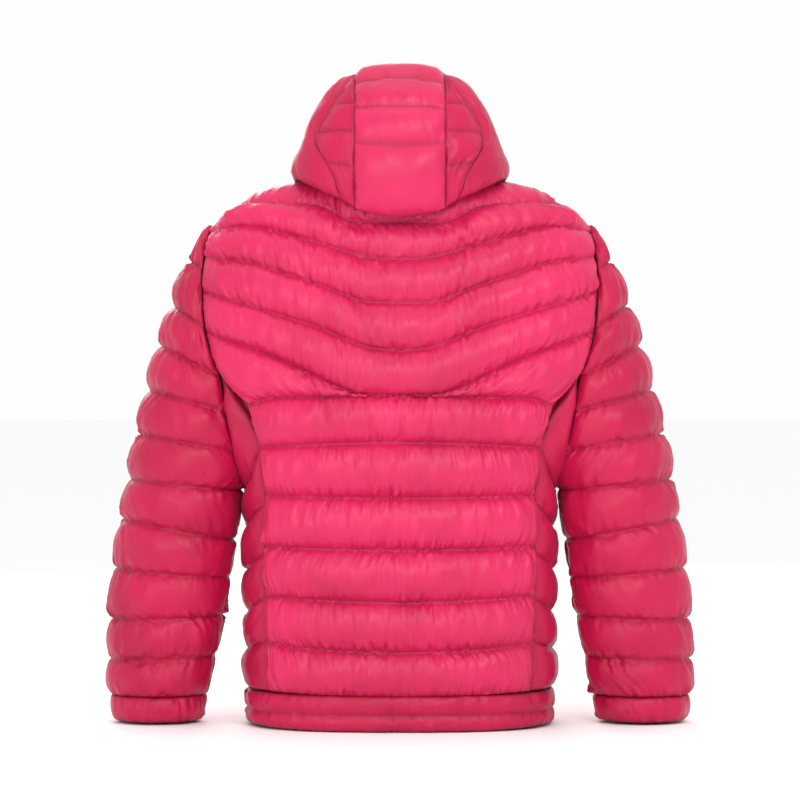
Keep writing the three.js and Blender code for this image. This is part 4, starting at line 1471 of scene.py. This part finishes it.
        skin, under = quilt.settled(), self.under(grid[0])
        for side in Side:
            made, low = skin.on_side(side), under.on_side(side)
            made.puckered(160 + side.value, 0.0008)
            panel = made.columns(f"hood_side_quilt_{side.word}", 0, 16)
            roll = made.columns(f"hood_roll_quilt_{side.word}", 16, grid.shape[1] - 1)
            lows = low.columns("", 0, 16), low.columns("", 16, grid.shape[1] - 1)
            dress([panel, lows[0]], SHELL_SHADED, BODY, [f"hood_side_panel_{side.word}"])
            dress([roll, lows[1]], SHELL_SHADED, BODY, [f"hood_roll_{side.word}"])
        return grid, kept


# ---------------------------------------------------------------------------------------------
# Linings and trims
# ---------------------------------------------------------------------------------------------


def layer(name: str, grid: Array, inside: Sequence[float], top: float, thick: float) -> Skin:
    """A plain cloth under a surface.

    Args:
        name: Name of the piece.
        grid: Points of the surface.
        inside: A point inside the garment.
        top: How far the cloth's outer side lies under the surface.
        thick: Its thickness.

    Returns:
        The cloth.
    """
    normal = grid_normals(grid)
    if np.sum(normal * (grid - np.array(inside))) < 0:
        normal = -normal
    held = np.zeros(grid.shape[:2], bool)
    held[[0, -1]] = True
    rng = np.random.default_rng(71)
    ripple = np.abs(soft_noise(rng, grid.shape[:2], (9, 9))) * 0.0005
    face = grid - normal * (top + ripple[..., None])
    return Skin(name, face, face - normal * thick, normal, seam_distance(grid, held))


@dataclass
class Linings:
    """The taffeta inside the body and the sleeves.

    Attributes:
        under: From the outer surface to the lining.
        thick: Its thickness.
        rise: How far it stops above the hem and the cuffs.
    """

    under: float = 0.0146
    thick: float = 0.0012
    rise: float = 0.006

    def build(self) -> None:
        """Make the body's and the sleeves' linings."""
        self.body()
        self.sleeves()

    def body(self) -> None:
        """Make the body's lining, cut out round both armholes."""
        z = np.linspace(self.rise, 0.712, 110)[:, None]
        end = body_turn(0.0225, z, back=False)
        u = np.linspace(0, 1, 96)[None, :]
        turn = np.pi / 2 + (end - np.pi / 2) * u
        grid = body_ring(turn, z + 0 * u)
        centre = (grid[1:, 1:] + grid[:-1, :-1]) / 2
        x, y, height = np.moveaxis(centre, -1, 0)
        beside = np.abs(y - SHOULDER_Y) < armhole_y(height) - SHOULDER_Y + 0.002
        kept = ~(beside & (height > 0.326) & (height < 0.672))
        neck = (np.abs(x) < 0.095) & (height > 0.655 + 0.2 * (y + 0.1))
        skin = layer("body_lining_cloth", grid, (0, 0, 0.35), self.under, self.thick)
        tip = (np.abs(x) > 0.222) & (height > 0.655)
        skin.kept = kept & ~neck & ~tip
        piece = dress(skin.with_mirror(), LINING, BODY, ["body_lining"])

    def sleeves(self) -> None:
        """Make both sleeve linings."""
        sleeve = Sleeve()
        levels = [(0.59, 0.575), (0.5072, 0.4654), (0.4478, 0.4181), (0.3884, 0.3655)]
        levels += [(0.356, 0.3340), (0.3277, 0.3128), (0.275, 0.2460), (0.2080, 0.1950)]
        levels += [(0.1400, 0.1440)]
        levels += [(0.0860, 0.0890), (self.rise + 0.002, self.rise + 0.002)]
        rows = [Row(sleeve.ring(outer, inner), 7) for outer, inner in levels]
        grid, _ = lofted(rows, [72])
        skin = layer("", grid, (0.30, SHOULDER_Y, 0.3), self.under - 0.002, self.thick)
        for side in Side:
            made = skin.on_side(side, f"sleeve_lining_cloth_{side.word}")
            node = f"sleeve_lining_{side.word}"
            piece = dress(made, LINING, side, [node])


@dataclass(frozen=True)
class ZipLine:
    """The frame of a zip: across it, into the jacket and up along it."""

    origin: Array
    across: Array
    into: Array
    up: Array
    length: float

    @classmethod
    def front(cls) -> "ZipLine":
        """The front zip."""
        up = np.array([0, ZIP_SLOPE, 1]) / np.hypot(1, ZIP_SLOPE)
        into = np.array([0, 1, -ZIP_SLOPE]) / np.hypot(1, ZIP_SLOPE)
        across = np.array([1.0, 0, 0])
        length = ZIP_HEIGHT * np.hypot(1, ZIP_SLOPE)
        return cls(np.array([0, FRONT_Y, 0]), across, into, up, length)

    @classmethod
    def pocket(cls) -> "ZipLine":
        """The left pocket's zip, found from its slider's and its puller's joints."""
        joints = {joint["name"]: joint for joint in frame["record"]["behaviour"]["joints"]}
        swing = joints["left_pocket_puller_swing"]
        up = -np.array(joints["left_pocket_slide"]["axis"])
        across = -np.array(swing["axis"])
        into = np.cross(up, across)
        length = float(np.hypot(*(POCKET_HIGH - POCKET_LOW)))
        bar = np.array(swing["pos_m"]) + into * 0.0016
        return cls(bar - up * (length - 0.0083), across, into, up, length)

    def point(self, x: Array, depth: Array, run: Array) -> Array:
        """Points at a distance across, under the shell's outer surface and along the zip."""
        x, depth, run = np.broadcast_arrays(*(np.asarray(v, float) for v in (x, depth, run)))
        return (
            self.origin
            + x[..., None] * self.across
            + depth[..., None] * self.into
            + run[..., None] * self.up
        )

    def strip(
        self, name: str, across: Sequence[float], run: Array, depth: float, thick: float
    ) -> Skin:
        """A flat strip of cloth along the zip."""
        x, s = np.meshgrid(np.asarray(across, float), run)
        face = self.point(x, depth, s)
        normal = np.broadcast_to(-self.into, face.shape)
        edge = np.full(x.shape, 0.01)
        edge[:, [0, -1]] = 0.0
        return Skin(name, face, self.point(x, depth + thick, s), normal, edge)

    def teeth(self, name: str, side: int, low: float, high: float) -> tuple[Array, Array]:
        """A row of moulded teeth on one tape.

        Every tooth is a block that narrows towards the slit. The two rows are half a pitch apart.

        Args:
            name: Name of the piece; not used.
            side: 1 or -1.
            low: Start of the row along the zip.
            high: Its end.

        Returns:
            Points and faces.
        """
        pitch = 0.0026
        runs = np.arange(low + 0.001 + (pitch / 2 if side > 0 else 0), high - 0.001, pitch)
        x = np.array([0.0009, 0.0036])[:, None, None] * side
        half = np.array([0.00055, 0.00085])[:, None, None]
        depth = np.array([0.0023, 0.0045])[None, :, None]
        end = np.array([-1, 1])[None, None, :]
        block = [np.broadcast_to(v, (2, 2, 2)).ravel() for v in (x, depth, half * end)]
        points = self.point(block[0], block[1], runs[:, None] + block[2]).reshape(-1, 3)
        cube = [[0, 1, 3, 2], [4, 6, 7, 5], [0, 4, 5, 1], [2, 3, 7, 6], [0, 2, 6, 4], [1, 5, 7, 3]]
        cube = np.array(cube) if side > 0 else np.array(cube)[:, ::-1]
        faces = (np.arange(len(runs))[:, None, None] * 8 + cube).reshape(-1, 4)
        return points, faces


@dataclass
class Zips:
    """Tapes and teeth of the front zip and of both pocket zips."""

    reach: float = 0.0067
    slit: float = 0.0008
    tape_depth: float = 0.0049
    tape_thick: float = 0.0009
    start: float = 0.010

    def build(self) -> None:
        """Make every tape and every row of teeth."""
        line = ZipLine.front()
        run = np.linspace(self.start, line.length, 120)
        across = np.linspace(self.slit, self.reach, 5)
        for side in Side:
            name = f"front_tape_{side.word}"
            tape = line.strip(name, across * side.value, run, self.tape_depth, self.tape_thick)
            dress(tape, TAPE, BODY, [f"front_zip_tape_{side.word}"])
            row = line.teeth("", side.value, self.start, line.length - 0.003)
            self.hard(f"front_teeth_{side.word}", *row, [f"front_zip_teeth_{side.word}"])
        self.pockets()

    def pockets(self) -> None:
        """Make the pocket zips' tapes and teeth."""
        line = ZipLine.pocket()
        across = [-self.reach, -0.004, -self.slit, self.slit, 0.004, self.reach]
        run = np.concatenate([[0.0], np.linspace(0.002, line.length - 0.002, 40), [line.length]])
        tape = line.strip("", across, run, self.tape_depth, self.tape_thick)
        tape.kept = np.ones((len(run) - 1, len(across) - 1), bool)
        tape.kept[1:-1, 2] = False
        rows = [line.teeth("", side.value, 0.0, line.length) for side in Side]
        points = np.concatenate([row[0] for row in rows])
        faces = np.concatenate([rows[0][1], rows[1][1] + len(rows[0][0])])
        for side in Side:
            made = tape.on_side(side, f"pocket_tape_{side.word}")
            dress(made, TAPE, BODY, [f"pocket_zip_tape_{side.word}"])
            mirror = np.array([side.value, 1, 1])
            turned = faces if side is Side.LEFT else faces[:, ::-1]
            node = f"pocket_zip_teeth_{side.word}"
            self.hard(f"pocket_teeth_{side.word}", points * mirror, turned, [node])

    @staticmethod
    def hard(name: str, points: Array, faces: Array, nodes: Sequence[str]) -> None:
        """Make a flat-shaded row of teeth."""
        mesh = mesh_of(name, points, faces)
        mesh.polygons.foreach_set("use_smooth", np.zeros(len(mesh.polygons), bool))
        placed(link(name, mesh), TEETH, BODY, nodes)


def swept(
    path: Array, out: Array, half_wide: float, half_thick: float, sides: int = 16
) -> tuple[Array, Array]:
    """A flat rounded bar along a path, closed at both ends.

    Args:
        path: Points along its middle.
        out: Direction of its thickness at each point.
        half_wide: Half its width.
        half_thick: Half its thickness.
        sides: Corners of its section.

    Returns:
        Points and faces of four corners.
    """
    along = np.gradient(path, axis=0)
    along /= np.linalg.norm(along, axis=1, keepdims=True)
    out = out - along * np.sum(out * along, axis=1, keepdims=True)
    out /= np.linalg.norm(out, axis=1, keepdims=True)
    wide = np.cross(along, out)
    angle = np.arange(sides) * 2 * np.pi / sides
    c = np.sign(np.cos(angle)) * np.abs(np.cos(angle)) ** 0.6 * half_wide
    t = np.sign(np.sin(angle)) * np.abs(np.sin(angle)) ** 0.6 * half_thick
    rings = path[:, None] + c[None, :, None] * wide[:, None] + t[None, :, None] * out[:, None]
    index = np.arange(len(path) * sides).reshape(len(path), sides)
    after = np.roll(index, -1, axis=1)
    faces = np.stack([index[:-1], after[:-1], after[1:], index[1:]], axis=-1).reshape(-1, 4)
    half = sides // 2
    caps = []
    for ring, turned in ((index[0], False), (index[-1], True)):
        back = ring[::-1]
        cap = np.stack([ring[: half - 1], back[: half - 1], back[1:half], ring[1:half]], axis=-1)
        caps.append(cap[:, ::-1] if turned else cap)
    return rings.reshape(-1, 3), np.concatenate([faces, *caps])


@dataclass
class Trims:
    """Collar, storm flap, chin guard, hang loop and pocket bags.

    Attributes:
        flap_half: Half the storm flap's width.
        bag_low: Height of the pocket bags' bottom.
        bag_high: Height of their top.
        bag_inner: X of their edge beside the front zip.
    """

    flap_half: float = 0.0215
    bag_low: float = 0.098
    bag_high: float = 0.282
    bag_inner: float = 0.050

    def build(self) -> None:
        """Make every trim."""
        self.collar()
        self.flap()
        self.guard()
        self.loop()
        self.bags()

    def collar(self) -> None:
        """The padded collar inside the hood, open at the zip."""
        turn = np.linspace(np.pi / 2, -np.pi / 2 + 0.024, 400)
        x = 0.097 * np.abs(np.cos(turn)) ** (2 / 2.2)
        y = -0.0071 + 0.0861 * np.sign(turn) * np.abs(np.sin(turn)) ** (2 / 2.2)
        low = np.interp(y, [-0.094, 0.08], [0.661, 0.699])
        rows = []
        for share, cells in ((1.0, 5), (0.93, 11), (0.47, 11), (0.0, 0)):
            z = low + (0.7545 - low) * share
            rows.append(Row(np.stack([x, y, z], axis=-1), cells))
        grid, sewn = lofted(rows, [120])
        quilt = Quilt(
            "collar_cloth", grid, sewn, [-1], (0, 0, 0.7), puff=0.0022, sunk=0.0022, depth=0.0095,
            seed=73, crosses_middle=True, cloth=Cloth(across_ease=1.03, along_ease=1.03),
        )
        dress(quilt.settled().with_mirror(), SHELL_SHADED, BODY, ["collar"])

    def flap(self) -> None:
        """The storm flap behind the front zip."""
        x, z = np.meshgrid(
            np.linspace(-self.flap_half, self.flap_half, 15), np.linspace(0.009, 0.646, 120)
        )
        grid = body_point(x, z, back=False)
        skin = layer("storm_flap_cloth", grid, (0, 0, 0.35), 0.0148, 0.0014)
        skin.distance = np.minimum(skin.distance, self.flap_half - np.abs(x))
        piece = dress(skin, SHELL_SHADED, BODY, ["storm_flap"])

    def guard(self) -> None:
        """The chin guard behind the top of the front zip."""
        line = ZipLine.front()
        run = np.linspace(line.length - 0.034, line.length + 0.002, 14)
        skin = line.strip("chin_guard_cloth", np.linspace(-0.0063, 0.0063, 9), run, 0.0081, 0.0022)
        dress(skin, LINING, BODY, ["chin_guard"])

    def loop(self) -> None:
        """The hang loop: a strap sewn to the collar at both ends."""
        low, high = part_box("hang_loop")
        middle = (low[2] + high[2]) / 2
        t = np.linspace(0, 1, 40)
        x = low[0] + 0.0015 + (high[0] - low[0] - 0.003) * t
        y = high[1] - 0.0012 - (high[1] - low[1] - 0.0022) * 4 * t * (1 - t)
        path = np.stack([x, y, np.full(40, middle)], axis=-1)
        points, faces = swept(path, np.tile([0.0, 1.0, 0.0], (40, 1)), 0.0037, 0.0008)
        piece = link("hang_strap", mesh_of("hang_strap", points, faces))
        placed(piece, TAPE, BODY, ["hang_loop"])

    def bags(self) -> None:
        """The pocket bags between the fronts and the lining."""
        z = np.linspace(self.bag_low, self.bag_high, 50)[:, None]
        edge = np.interp(z, [self.bag_low, self.bag_high], [0.170, 0.143])
        x = self.bag_inner + (edge - self.bag_inner) * np.linspace(0, 1, 34)[None, :]
        grid = body_point(x, z + 0 * x, back=False)
        skin = layer("", grid, (0, 0, 0.2), 0.0114, 0.0020)
        for side in Side:
            made = skin.on_side(side, f"pocket_bag_cloth_{side.word}")
            piece = dress(made, LINING, BODY, [f"pocket_bag_{side.word}"])


# ---------------------------------------------------------------------------------------------
# Hardware and stage
# ---------------------------------------------------------------------------------------------


def finish_carried() -> None:
    """Give the sliders, pullers, stops, pin and retainer box of the zips their finishes."""
    for name, node in frame["nodes"].items():
        finish = PULLER if "puller" in name else METAL
        if not node.material_slots:
            node.data.materials.append(finish.material())
        for held in node.material_slots:
            held.material = finish.material()


@dataclass
class Stage:
    """Floor, lights and the camera."""

    distance: float = 4.0
    aim_height: float = 0.434
    width_seen: float = 1.08

    def build(self) -> None:
        """Make the stage."""
        self.floor()
        self.light("key", (-0.7, 2.2, 1.7), (1.2, 1.0), 17)
        self.light("fill", (1.1, 3.0, 1.1), (1.4, 1.2), 17)
        self.light("over", (0.0, 0.4, 2.9), (1.6, 1.2), 6)
        self.light("front", (0.6, -3.0, 1.6), (1.8, 1.4), 34)
        world = bpy.data.worlds.new("studio")
        world.use_nodes = True
        world.node_tree.nodes["Background"].inputs["Color"].default_value = (1, 1, 1, 1)
        world.node_tree.nodes["Background"].inputs["Strength"].default_value = 0.77
        bpy.context.scene.world = world
        bpy.context.scene.view_settings.view_transform = "Standard"
        bpy.context.scene.view_settings.exposure = 0.36
        data = bpy.data.cameras.new("camera")
        data.lens = data.sensor_width * self.distance / self.width_seen
        camera = link("camera", data)
        camera.location = (0, self.distance, self.aim_height)
        camera.rotation_euler = (np.pi / 2, 0, np.pi)
        bpy.context.scene.camera = camera

    @staticmethod
    def floor() -> None:
        """A pale, faintly mottled floor."""
        reach = 60.0
        corners = [(-reach, -reach), (reach, -reach), (reach, reach), (-reach, reach)]
        points = np.array([(x, y, -0.0005) for x, y in corners])
        floor = link("floor", mesh_of("floor", points, np.array([[0, 1, 2, 3]])))
        floor.data.materials.append(
            Finish("floor_paint", (0.965, 0.965, 0.965), (0.95, 0.95, 0.95), 0.8).material()
        )
        floor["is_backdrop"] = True

    @staticmethod
    def light(name: str, place: tuple, size: tuple[float, float], power: float) -> None:
        """A rectangular soft light that faces the jacket."""
        data = bpy.data.lights.new(name, "AREA")
        data.shape = "RECTANGLE"
        data.size, data.size_y = size
        data.energy = power
        lamp = link(name, data)
        lamp.location = place
        aim = Vector((0, 0, 0.45)) - Vector(place)
        lamp.rotation_euler = aim.to_track_quat("-Z", "Y").to_euler()


def main() -> None:
    """Dress the jacket, piece by piece."""
    finish_carried()
    BackPanel().build()
    SidePanel().build()
    FrontPanel().build()
    HemBand().build()
    Sleeve().build()
    Hood().build()
    Linings().build()
    Zips().build()
    Trims().build()
    Stage().build()
    sizes = {"cad": CAD_BOUNDS, "shown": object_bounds()}
    {k: [[float(c) for c in corner] for corner in v] for k, v in sizes.items()}
    LOG.info("size %s", sizes)


if __name__ == "__main__":
    main()
